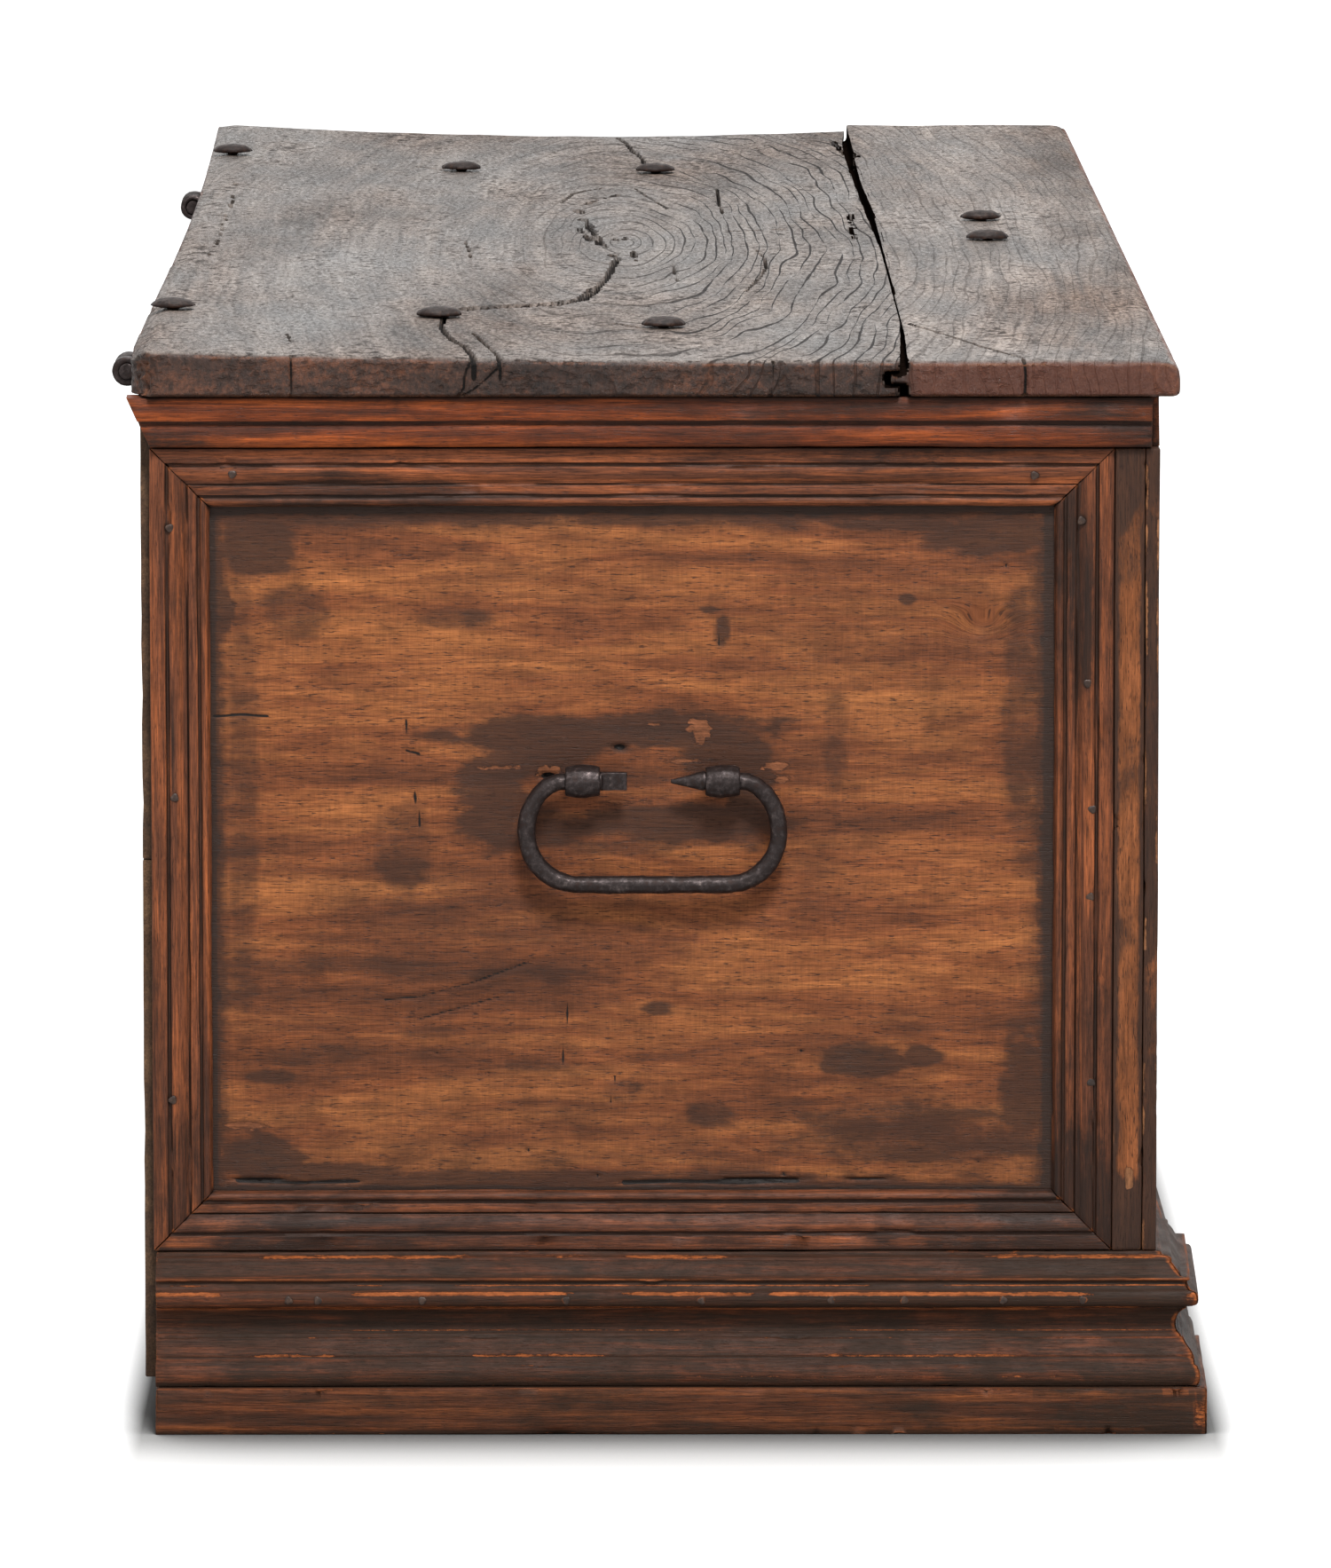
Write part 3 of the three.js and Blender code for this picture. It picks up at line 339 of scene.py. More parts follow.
poplarLook = {
    # rough-sawn and never finished: grey-brown, dusty, dull
    "pale": "#7d5f45", "mid": "#604735", "dark": "#47362a", "dirtAndShade": "#352c26", "sootAndShade": "#2c2520", "pore": "#382a20",
    "bare": "#8c6a49",
    "figureMm": 20, "draw": 9, "fibreMm": 1.4, "fibreLow": 0.6, "fibreHigh": 1.25, "poreDepth": 0.4, "hatch": 0.08,
    "cloudMm": 160, "cloud": 0.9, "cloudBase": -0.5, "mottleMm": 30, "mottle": 0.4, "streakMm": 9, "streak": 0.8,
    "wisps": 0.0, "dirtAndShadeLow": 0.55, "dirtAndShadeHigh": 0.95, "dirtAndShadeMost": 0.8, "stainAndShade": 0.5, "recessMm": 16, "recessShade": 0.5,
    "ragged": 0.34, "rubbed": 0, "gloss": 0.68, "specular": 0.2, "bump": 0.8,
}
slabLook = {
    "knot": (-0.05, 0.017),  # X and Y of the middle of the rings, metres
    "drawn": 6.2,  # how many times longer the rings are along the board
    "checkGap": 0.0072,  # one check a ring
    "narrow": (-0.14, -0.15),  # between these the narrow board begins, Y
    "figure": [(0.3, "#463c35"), (0.5, "#62564e"), (0.7, "#7d7168")],
    "cloud": [(0.34, "#c8b4a4"), (0.5, "#ffffff"), (0.66, "#dfe4e8")],
    "end": [(0.38, "#150e0b"), (0.5, "#3d2920"), (0.62, "#704632")],
    "narrowEnd": "#8a4b34", "cut": "#1a1310", "endCut": "#0e0a08", "under": "#bd9478", "bare": "#6d432c",
}


def lidWood(name, look):
    # Walnut slab, worn nearly bare and rubbed for centuries: brown from above, greyed by a broad soft sheen at
    # a low angle, with thin open checks along its rings, dents full of dirt, and dark sawn ends.
    material, add, shader = newMaterial(name)
    coords = add("TexCoord", give="Object")
    split = add("SeparateXYZ", coords).node.outputs
    cracks, end, under, worn = [add("Attribute", attribute_name=field, give="Fac")
                                for field in ("crack", "endGrain", "underside", "bare")]
    cracks = add("MapRange", cracks, 0.47, 0.56)
    by5, by4, by3 = [add("Mapping", coords, Scale=byGrain("X", 1 / stretch)) for stretch in (5, 4, 3)]
    wobble = add("TexNoise", by5, 1000 / 130, 3, 0.6)
    cloudy = add("TexNoise", by4, 1000 / 170, 5, 0.6)
    patch = add("TexNoise", by3, 1000 / 60, 4, 0.6)
    # rings round the knot, near the middle of the wide board
    along = add("Math", split["X"], 1 / look["drawn"], -look["knot"][0] / look["drawn"], **plus)
    across = add("Math", split["Y"], 1.0, -look["knot"][1], **plus)
    radius = add("VectorMath", add("CombineXYZ", along, across), operation="LENGTH")
    radius = add("Math", wobble, 0.045, radius, **plus)
    ringPlace = add("CombineXYZ", radius, along, across)
    rings, uneven, broken = [
        add("TexNoise", add("Mapping", ringPlace, Scale=(1000 / thin, 1000 / long, 1000 / long)), 1, detail, rough)
        for thin, long, detail, rough in ((9, 60, 4, 0.6), (22, 90, 1, 0.6), (10, 26, 3, 0.7))]
    # checks: one thin line a ring, broken into lengths
    turn = add("Math", uneven, 2.6, add("Math", radius, 1 / look["checkGap"], 0.0, **plus), **plus)
    turn = add("Math", turn, 0.5, operation="PINGPONG")
    width = add("MapRange", add("Math", cloudy, 0.4, broken, **plus), 0.55, 0.78, -0.02, 0.08)
    check = add("MapRange", add("Math", width, turn, operation="SUBTRACT"), -0.02, 0.02)
    # they are open on the front half of the wide board and hardly seen on its back half; the narrow board was cut
    # further from the heart, and is smoother and lighter
    narrow = add("MapRange", split["Y"], *look["narrow"])
    parted = add("MapRange", add("Math", cloudy, 0.12, split["Y"], **plus), 0.16, 0.03, 0.12, 1.0)
    parted = add("Math", parted, add("MapRange", narrow, 0.0, 1.0, 1.0, 0.3), operation="MULTIPLY")
    check = add("Math", check, parted, operation="MULTIPLY")
    fleck = add("TexNoise", add("Mapping", coords, Scale=(1 / 3.2, 1.0, 1.0)), 1000 / 2.4, 5, 0.75)
    dent = add("TexNoise", add("Mapping", coords, Scale=(1 / 2.2, 1 / 2.6, 1.0)), 1000 / 2.6, 3, 0.6)
    dentMask = add("MapRange", add("Math", patch, 0.45, dent, **plus), 0.81, 0.9, 0.0, 0.85)
    colour = add("ValToRGB", rings, stops=look["figure"])
    for tone in (add("ValToRGB", cloudy, stops=look["cloud"]), add("MapRange", fleck, 0.32, 0.68, 0.25, 1.6),
                 add("MapRange", patch, 0.36, 0.64, 0.5, 1.45), add("MapRange", narrow, 0.0, 1.0, 1.0, 1.36)):
        colour = add("Mix", 1.0, colour, tone, **shaded)
    dark = add("Math", add("Math", check, cracks, **larger), dentMask, **larger)
    colour = add("Mix", dark, colour, look["cut"], **laid)
    # the underside was never worn or waxed: the same figure in a dusty brown
    colour = add("Mix", under, colour, add("Mix", 1.0, look["under"], colour, **shaded), **laid)
    # sawn ends and the rounded front edge keep their dark brown
    pits = add("TexNoise", coords, 1000 / 4, 8, 0.75)
    broad = add("TexNoise", add("Mapping", coords, Scale=(1.0, 0.4, 1.0)), 1000 / 38, 5, 0.65)
    grain = add("Math", broad, 0.5, add("Math", pits, 0.5, 0.0, **plus), **plus)
    endTone = add("ValToRGB", grain, stops=look["end"])
    endTone = add("Mix", add("MapRange", narrow, 0.0, 1.0, 0.0, 0.27), endTone, look["narrowEnd"], **laid)
    endTone = add("Mix", cracks, endTone, look["endCut"], **laid)
    colour = add("Mix", end, colour, endTone, **laid)
    ragged = add("Math", add("TexNoise", coords, 1000 / 3.2, 5, 0.75), 0.7, -0.35, **plus)
    bare = add("MapRange", add("Math", worn, ragged, operation="ADD"), 0.42, 0.62)
    fresh = add("Mix", 1.0, look["bare"], add("MapRange", fleck, 0.3, 0.7, 0.5, 1.35), **shaded)
    colour = add("Mix", bare, colour, fresh, **laid)
    # the sheen of wax lies on the high places and is broken by every fleck
    gloss = add("Math", cloudy, 0.4, add("Math", fleck, 0.6, 0.0, **plus), **plus)
    gloss = add("MapRange", gloss, 0.39, 0.61, 0.68, 0.16)
    gloss = add("Math", cracks, 0.5, add("Math", dark, 0.5, gloss, **plus), **plus)
    height = fleck
    for part, share in ((check, -1.4), (dentMask, -1.2), (rings, 0.8),
                        (add("Math", pits, end, operation="MULTIPLY"), 1.3)):
        height = add("Math", part, share, height, **plus)
    fill(shader, {"Base Color": colour, "Roughness": gloss, "IOR": 1.48, "Specular IOR Level": 0.34,
                  "Normal": add("Bump", 1.0, 0.9 * mm, Height=height)})
    return material


def paintedJointShade(name):
    # the open joint of the lid: its walls painted near-black and dull, with no reflection, as the shade deep in the
    # gap
    material, add, shader = newMaterial(name)
    speckle = add("TexNoise", add("TexCoord", give="Object"), 1000 / 6, 4, 0.6)
    tone = add("Mix", 1.0, "#120c09", add("MapRange", speckle, 0.3, 0.7, 0.5, 1.6), **shaded)
    fill(shader, {"Base Color": tone, "Roughness": 1.0, "Specular IOR Level": 0.0})
    return material


def forgedIron(name, stops, metallic, dull, bright, specular):
    # Wrought iron from the forge: blue-black scale worn to a dull grey sheen on the high places,
    # with a little brown rust in the pits.
    material, add, shader = newMaterial(name)
    coords = add("TexCoord", give="Object")
    scale = add("TexNoise", coords, 1000 / 4, 6, 0.65)
    pits = add("TexNoise", coords, 1000 / 1.6, 3, 0.6)
    height = add("Math", pits, 0.4, scale, **plus)
    fill(shader, {"Base Color": add("ValToRGB", scale, stops=stops), "Metallic": metallic,
                  "Specular IOR Level": specular, "Roughness": add("MapRange", scale, 0.3, 0.7, dull, bright),
                  "Normal": add("Bump", 0.55, 0.5 * mm, Height=height)})
    return material


def inEachDirection(name, axes, look):
    # one material for each direction of the grain
    return {axis: oldWalnut(f"{name}_{axis.lower()}", axis, look) for axis in axes}


walnutPanelY = oldWalnut("varnished_walnut_across_end", "Y", dict(panelLook, whole=True))
walnutBoard = inEachDirection("varnished_walnut", "XZ", panelLook)
walnutStrip = oldWalnut("dark_waxed_walnut_strip", "Z", stripLook)
walnutMoulding = inEachDirection("waxed_walnut_moulding", "XYZ", mouldingLook)
walnutCleat = inEachDirection("waxed_walnut_cleat", "Y", cleatLook)
walnutBase = inEachDirection("darkened_walnut_base", "XY", baseLook)
walnutPlinth = inEachDirection("rubbed_walnut_plinth", "XY", plinthLook)
walnutArris = inEachDirection("worn_walnut_arris", "XYZ", arrisLook)
sawnPoplar = oldWalnut("sawn_poplar", "X", poplarLook)
slabWalnut = lidWood("rubbed_walnut_slab", slabLook)
blackJoint = paintedJointShade("joint_painted_shade")
scaleTones = [(0.3, "#30221e"), (0.48, "#2c2524"), (0.62, "#423938"), (0.76, "#70645f")]
rubbedTones = [(0.3, "#1e1511"), (0.5, "#35241b"), (0.7, "#564033")]
brownTones = [(0.3, "#120b09"), (0.5, "#201410"), (0.72, "#3b271d")]
wroughtIron = forgedIron("forged_iron", scaleTones, metallic=0.72, dull=0.58, bright=0.34, specular=0.5)
# nails wholly under wax and rust show no metal
rubbedNail = forgedIron("rubbed_nail_iron", rubbedTones, metallic=0.0, dull=0.5, bright=0.3, specular=0.4)
brownNail = forgedIron("brown_nail_iron", brownTones, metallic=0.0, dull=0.6, bright=0.35, specular=0.12)
print("materials made")


# lid boards
lid = {
    "voxel": 1.3,  # mm, across the boards and through them
    "along": 3.5,  # how many times longer a face is along the board
    "hollows": 0.8,  # mm, depth of the plane's and the years' unevenness
    "crackDepth": 6.5,
    "squash": 2.2,  # cracks are drawn this many times wider along the board
    "topFrom": (604, 612),  # heights between which the cracks of the top fade in
    "endFrom": (844, 847),  # and X between which those of the end do
    "joint": (-141, 13),  # Y of the open joint's middle, and half the strip that its walls lie in
    # the near end's back corner, -X and Y, how far it is broken away each way, and its thin rubbed crust
    "corner": (850, 303.75),
    "cornerBreak": (30, 17),
    "cornerCrust": (120, 9),
    "endRound": {"lid_board_back": 2, "lid_board_front": 6},  # radius of the ends' rubbed upper arris
    # how the narrow board's ends have crept towards the wide one: which end, X where it starts and where it is
    # whole, and how far
    "creep": [(1, 60, 420, 3.5), (-1, 660, 850, 2)],
    "creepAcross": (-175, -150),  # Y between which the creep fades in
    "rubbedEnd": (841, 845),  # X between which the rubbed arris of the ends fades in
    "nose": {"y": (291, 296), "z": (606, 612)},  # and the rubbed upper arris of the front, whose paler wood is also a painted highlight
    # cracks in the top, as X and Y in mm, each with half its width
    "cracks": [
        (4.2, [(-538, 112), (-517, 94), (-505, 78), (-488, 57)]),
        (3.7, [(-488, 57), (-457, 43), (-391, 35)]),
        (1.9, [(-391, 35), (-310, 28), (-217, 24), (-170, 21)]),
        (1.5, [(-598, 124), (-648, 126), (-704, 122), (-747, 117), (-780, 110), (-838, 105), (-852, 104)]),
        (0.9, [(-698, 106), (-758, 99), (-806, 93), (-852, 89)]),
        (1.5, [(830, 20), (781, 14), (710, 10), (655, 4), (578, 1)]),
        (0.8, [(-627, -149), (-683, -167), (-760, -188), (-829, -209), (-852, -211)]),
        (0.6, [(255, 58), (326, 51), (355, 43), (384, 30)]),
        (0.6, [(384, 9), (318, 2), (261, -6), (212, -12)]),
        (0.6, [(-57, 118), (-120, 115), (-186, 113)]),
        (0.9, [(-615, 24), (-628, 17), (-643, 9)]),
        (0.6, [(-212, -14), (-270, -14), (-329, -15)]),
        (0.6, [(-104, -66), (-174, -71), (-237, -71), (-311, -66), (-407, -56)]),
        (0.6, [(369, -46), (261, -46), (163, -48)]),
        (1.7, [(749, -131), (654, -136), (569, -144)]),
        (0.6, [(-725, 214), (-774, 210)]),
        (0.8, [(540, 158), (525, 140)]),
        (0.6, [(28, -49), (41, -90)]),
    ],
    # rows of torn pits round the knot
    "pitted": [
        (2.6, [(199, 46), (106, 43), (66, 39), (-5, 35), (-64, 32), (-122, 28), (-170, 21)]),
        (1.8, [(-32, 23), (-5, 18), (-58, 14), (-123, 11), (-186, 11)]),
        (1.6, [(60, 47), (10, 43), (-40, 39)]),
        (1.8, [(156, -131), (7, -130), (-59, -132)]),
        (1.5, [(330, 20), (290, 32), (250, 42)]),
        (1.0, [(341, 276), (214, 274), (9, 274), (-141, 274), (-210, 276)]),
    ],
    # cracks in the near end, as Y and Z in mm
    "endCracks": [
        (0.8, [(104, 626), (109, 614), (110, 605), (114, 598)]),
        (0.7, [(89, 626), (91, 616), (102, 606), (111, 600)]),
        (0.65, [(209, 628), (208, 598)]),
        (0.6, [(-67, 626), (-66, 598)]),
        (0.9, [(-210, 626), (-211, 612), (-210.5, 598)]),
    ],
}


def dressLidBoard(node, seed):
    mesh = remeshed(node, lid["voxel"], (lid["along"], 1, 1), 1)
    points = read(mesh.vertices, "co")
    # the upper arris of both ends is rounded; the top's height there is taken in rows 2 mm wide
    row = np.floor(points[:, 1] / (2 * mm)).astype(int)
    row -= row.min()
    reach = np.abs(points[:, 0])
    last = reach > reach.max() - 14 * mm
    top = np.full(row.max() + 1, -1.0)
    np.maximum.at(top, row[last], points[last, 2])
    radius = lid["endRound"][node] * mm
    rise = radius - (top[row] - points[:, 2])
    outward = radius - (reach.max() - reach)
    far = np.hypot(rise, outward)
    pull = np.where((rise > 0) & (outward > 0) & (far > radius), 1 - radius / np.maximum(far, 1e-9), 0)
    points[:, 2] -= rise * pull
    points[:, 0] -= np.sign(points[:, 0]) * outward * pull
    if node == "lid_board_front":
        creep = sum(smooth(way * points[:, 0] * 1000, low, high) * far for way, low, high, far in lid["creep"])
        points[:, 1] += creep * smooth(points[:, 1] * 1000, *lid["creepAcross"]) * mm
    writePoints(mesh, points)
    normals = read(mesh.vertices, "normal")
    up = smooth(normals[:, 2], 0.5, 0.9)
    endOut = smooth(np.abs(normals[:, 0]), 0.3, 0.55)
    x, y, z = points.T * 1000
    squashed = np.stack([x / lid["squash"], y], axis=1)
    fromTop = smooth(z, *lid["topFrom"])
    crack = np.zeros(len(points))
    uneven = 0.55 + 0.9 * cloud(points, (14, 5, 5), seed + 5)
    torn = 1.6 * smooth(cloud(points, (17, 4, 9), seed + 6, 2), 0.42, 0.62) - 0.35
    for kind, spread in (("cracks", uneven), ("pitted", torn)):
        for half, line in lid[kind]:
            field = lineField(squashed, [(a / lid["squash"], b) for a, b in line], half * spread)
            crack = np.maximum(crack, field * fromTop)
    for half, line in lid["endCracks"]:
        field = lineField(np.stack([y, z], axis=1), line, half)
        crack = np.maximum(crack, field * smooth(-x, *lid["endFrom"]))
    sink = smooth(crack, 0.48, 0.62) * np.where(endOut > 0.5, 1.6, lid["crackDepth"]) * mm
    # slow unevenness of the top, and a rougher end
    slow = (cloud(points, (240, 60, 60), seed, 2) - 0.5) * 2 * lid["hollows"] * mm
    sink += up * (slow + lid["hollows"] * mm)
    chipped = smooth(cloud(points, (26, 9, 7), seed + 9), 0.58, 0.8)
    edge = np.clip(1 - np.abs(normals).max(1), 0, 0.3) / 0.3
    sink += edge * chipped * 1.6 * mm + endOut * cloud(points, 9, seed + 3) * 0.9 * mm
    # the back corner of the near end is broken and rubbed away
    cornerX, cornerY = x + lid["corner"][0], lid["corner"][1] - y
    ragged = 0.75 + 0.5 * cloud(points, 12, seed + 13)
    broken, crust = [np.clip(1 - (cornerX / size[0] + cornerY / size[1]) / ragged, 0, 1)
                     for size in (lid["cornerBreak"], lid["cornerCrust"])]
    inward = np.zeros_like(points)
    inward[:, 0] = broken * 9 * mm * (0.4 + 1.2 * cloud(points, 6, seed + 17))
    inward[:, 1] = -(broken * 9 + crust * 4) * mm * (0.4 + 1.2 * cloud(points, 5, seed + 19))
    points = points - normals * sink[:, None] + inward
    writePoints(mesh, points)
    front, back = [smooth(way * normals[:, 1], 0.45, 0.8) * smooth(way * y, 270, 285) for way in (-1, 1)]
    endGrain = np.maximum.reduce([endOut, front * 0.9, back, smooth(broken, 0.05, 0.3)])
    # rubbed to fresh wood: the broken corner, and the upper arris of the ends and of the front; on the front's
    # arris, and towards the front along the ends', the paler wood is also a painted highlight
    rubbed = smooth(np.abs(points[:, 0]) * 1000, *lid["rubbedEnd"]) * smooth(normals[:, 2], 0.1, 0.4)
    rubbed *= smooth(-normals[:, 2], -0.93, -0.8) * smooth(cloud(points, (30, 46, 30), seed + 25), 0.34, 0.6)
    # painted highlight: the ends' arris is paler towards the front
    rubbed *= 0.85 + 0.35 * smooth(-y, 120, 240)
    nose = smooth(-y, *lid["nose"]["y"]) * smooth(points[:, 2] * 1000, *lid["nose"]["z"])
    nose *= smooth(cloud(points, (60, 9, 9), seed + 27), 0.45, 0.65) * 0.55
    atCorner = smooth(broken, 0.02, 0.4) * cloud(points, 6, seed + 21, 2) * 1.1
    bare = np.maximum.reduce([atCorner, rubbed * 0.6, nose])
    paint(mesh, crack=crack, endGrain=endGrain, underside=smooth(-normals[:, 2], 0.2, 0.6), bare=bare)
    stand(node + "_worn", mesh, node, [slabWalnut, blackJoint], 60)
    # the walls of the open joint take its painted black shade
    centres, facing = read(mesh.polygons, "center") * 1000, read(mesh.polygons, "normal")
    middle, half = lid["joint"]
    joint = (np.abs(centres[:, 1] - middle) < half) & (np.abs(facing[:, 0]) < 0.6)
    joint &= (centres[:, 2] < 615) | (np.abs(facing[:, 1]) > 0.75)
    mesh.polygons.foreach_set("material_index", joint.astype(np.int32))
    mesh.update()


dressLidBoard("lid_board_back", 100)
dressLidBoard("lid_board_front", 200)
print("lid boards dressed")


# end planks: the panel that carries the handle
panel = {
    "voxel": 1.25,
    "along": 2,
    # where old dirt lies, with darker bands along the moulding: centre Y and Z, half widths, strength (mm)
    "stains": [
        (24, 404, 87, 10, 0.75), (70, 398, 38, 15, 0.7), (93, 366, 21, 32, 0.62), (70, 350, 31, 13, 0.5),
        (-54, 373, 13, 31, 0.6), (-37, 391, 25, 15, 0.55), (-4, 350, 60, 11, 0.6), (19, 337, 31, 5, 0.4),
        (-121, 212, 24, 9, 0.8), (-155, 215, 12, 6, 0.7), (115, 470, 19, 5, 0.35), (-38, 462, 4, 8, 0.6),
        (-30, 475, 5, 2, 0.5), (-1, 242, 10, 4, 0.6), (19, 194, 10, 8, 0.35), (-32, 181, 17, 8, 0.5),
        (223, 203, 15, 4, 0.4), (200, 216, 31, 6, 0.35), (131, 229, 20, 3, 0.3), (75, 209, 20, 4, 0.3),
        (-144, 481, 5, 3, 0.55), (-138, 524, 36, 4, 0.5), (230, 511, 21, 18, 0.55), (207, 474, 20, 15, 0.35),
        (230, 156, 24, 13, 0.8), (187, 148, 36, 5, 0.5), (-149, 170, 76, 19, 0.5), (-82, 162, 20, 7, 0.4),
        (-211, 193, 13, 43, 0.6), (-194, 518, 33, 14, 0.6), (248, 474, 5, 13, 0.75), (-210, 417, 10, 77, 0.35),
        (-103, 402, 6, 31, 0.2), (146, 335, 15, 26, 0.25), (70, 263, 41, 4, 0.25), (192, 268, 51, 5, 0.22),
        (50, 144, 214, 4, 0.5), (50, 528, 168, 5, 0.45), (238, 366, 9, 129, 0.3),
    ],
    # places where the surface has flaked to fresh wood: centre Y and Z, half widths
    "flakes": [(62, 380, 7, 3.4), (-25, 405, 5.4, 6.2), (238, 175, 12, 2.2), (-68, 384, 6.5, 2.4),
               (-73, 377, 4.2, 2.6), (90, 383, 9, 0.8), (19, 363, 10, 1.0), (1, 408, 4, 1.1), (-18, 387, 10, 1.2)],
    # dents and torn places: centre Y and Z, half widths, depth
    "dents": [(62, 378, 5, 2.6, 3.0), (21, 395, 4.1, 2.1, 2.4), (230, 143, 20, 1.4, 1.6), (-60, 143, 30, 1.2, 1.6),
              (-120, 143, 16, 1.0, 1.2)],
    # scratches and small cracks, each with half its width
    "lines": [
        (0.9, [(255, 413), (238, 414), (223, 413)]), (0.8, [(144, 411), (142, 394)]),
        (0.8, [(144, 393), (136, 391)]),
        (0.9, [(140, 371), (137, 358), (136, 349)]), (1.0, [(-35, 469), (-36, 454)]),
        (0.75, [(74, 270), (106, 258), (136, 250), (157, 248)]), (0.7, [(90, 250), (111, 244), (136, 237)]),
        (0.7, [(50, 252), (52, 232), (54, 211)]), (0.8, [(24, 203), (26, 188)]),
        (1.1, [(242, 142), (207, 141), (172, 142)]), (1.3, [(19, 141), (-11, 142), (-47, 141), (-82, 142)]),
    ],
    "wormHoles": [(115, 214), (98, 205), (90, 241), (17, 281), (-201, 500), (74, 160), (-84, 218), (34, 145),
                  (-74, 146), (-98, 145), (-187, 153), (-212, 290), (60, 387), (-47, 283), (50, 311), (127, 217)],
    "knot": (-188, 465, 16, 10),  # centre Y and Z, half widths
    "edges": (137, 534.5, 255.7, -228.5),  # lowest and highest Z, highest and lowest Y inside the moulding
}


def dressEndPlank(node, out, seed):
    mesh = remeshed(node, panel["voxel"], (1, panel["along"], 1), 1)
    points = read(mesh.vertices, "co")
    normals = read(mesh.vertices, "normal")
    y, z = points[:, 1] * 1000, points[:, 2] * 1000
    plan = np.stack([y, z], axis=1)
    outer = smooth(normals[:, 0] * out, 0.5, 0.9)
    rough = (cloud(points, (30, 26, 8), seed, 4) - 0.5) * 2
    fine = (cloud(points, (9, 7, 3), seed + 1, 3) - 0.5) * 2
    chip = (cloud(points, (4, 3.6, 2.6), seed + 7, 2) - 0.5) * 2
    grime = np.zeros(len(points))
    for *spot, amount in panel["stains"]:
        far = spotDistance(y, z, spot) + rough * 0.55 + fine * 0.3
        grime = np.maximum(grime, (1 - smooth(far, 0.7, 1.35)) * amount)
    # the panel darkens towards its foot
    grime = np.maximum(grime, (1 - smooth(z + rough * 30, 160, 300)) * 0.13)
    # dirt and painted shade lie along the moulding round the panel, least along its foot
    low, high, back, front = panel["edges"]
    edges = np.minimum.reduce([(z - low) * 2.2, high - z, (back - y) * 1.3, (y - front) * 0.75])
    grime = np.maximum(grime, (1 - smooth(edges + rough * 7 + fine * 3, 3, 19)) * 0.46)
    grime = np.maximum(grime, 1 - smooth(edges + rough * 2.5 + fine * 1.5, 4, 7.5))
    bare = np.zeros(len(points))
    sink = np.zeros(len(points))
    for spot in panel["flakes"]:
        far = spotDistance(y, z, spot) + rough * 0.5 + chip * 0.9
        bare = np.maximum(bare, np.clip(0.5 + (1 - far) * min(spot[2:]) / 6, 0, 1))
    crack = np.zeros(len(points))
    for *spot, depth in panel["dents"]:
        far = spotDistance(y, z, spot) + rough * 0.2 + fine * 0.2
        sink += (1 - smooth(far, 0.6, 1.1)) * depth * mm
        crack = np.maximum(crack, np.clip(0.5 + (0.85 - far) * spot[3] / 4, 0, 1))
    for half, line in panel["lines"]:
        field = lineField(plan, line, half * (0.5 + 0.9 * cloud(points, (9, 9, 9), seed + 2)))
        sink += smooth(field, 0.48, 0.6) * 0.7 * mm
        crack = np.maximum(crack, field)
    for spot in panel["wormHoles"]:
        field = np.clip(0.5 + (1.1 - np.hypot(y - spot[0], z - spot[1])) / 4, 0, 1)
        sink += smooth(field, 0.48, 0.6) * 1.2 * mm
        crack = np.maximum(crack, field)
    sink += cloud(points, (200, 130, 60), seed + 3, 2) * 1.0 * mm
    ky, kz, kw, kh = panel["knot"]
    knot = np.exp(-((y - ky) / kw) ** 2 - ((z - kz) / kh) ** 2)
    writePoints(mesh, points - normals * (sink * outer)[:, None])
    paint(mesh, grime=grime * outer, bare=bare * outer, crack=crack * outer, knot=knot)
    stand(node + "_planed", mesh, node, [walnutPanelY], 60)


dressEndPlank("end_plank_left", -1, 300)
dressEndPlank("end_plank_right", 1, 400)
print("end planks dressed")


# planed boards, strips and mouldings, with their arrises softened and worn
timber = {
    "baseArris": 0.8,  # mm, width of a worn arris
    "frameArris": 0.36,
    "boardArris": 1.0,
    "nearStep": 5,  # mm between cuts along a length, on the pieces of the two ends
    "farStep": 12,
    "boardStep": 16,
    "wear": 0.8,  # depth of the worn places on an arris
    "chips": 1.6,
    "seed": 500,
    "softFrom": 33,  # degrees, the least bend of an edge that is softened
    "mitres": 76,  # mm that a mitred edge may lack of the whole length
    # fresh wood at the corners of the end's base: lowest and highest Y, lowest and highest Z
    "rubbed": [(-330, -300, 72, 84), (284, 300, 72, 83), (284, 300, 95, 100), (-330, -306, -2, 24),
               (-312, -290, 24, 31)],
    "stripSides": (-280.25, -263.25),  # Y of the corner strip's two sides
    "stripTop": (480, 562),  # heights between which it darkens towards its top, painted shade under the cleat as well as dirt
    "stripFoot": (152, 128),
    "stripSpot": (-273, 146, 3.5, 9),  # rubbed to fresh wood: centre Y and Z, half widths
    "frameDirt": (-260, 105, 150, 60),  # at the near corner of the end's frame, in the same way
    "pilasterEnd": 834.7,  # X of the pilasters' ends
    # lines rubbed along the near end's base: height, half width, how bare
    "wornLines": [(100, 0.8, 0.6), (96, 0.5, 0.58), (85.5, 0.6, 0.66), (81, 1.3, 0.72), (72.8, 0.8, 0.66),
                  (58.2, 0.5, 0.56), (44.8, 0.9, 0.6), (34, 1.0, 0.56)],
    # quirks scratched along the lower base: height and depth
    "quirks": [(57.4, 0.5), (43.8, 0.8)],
}


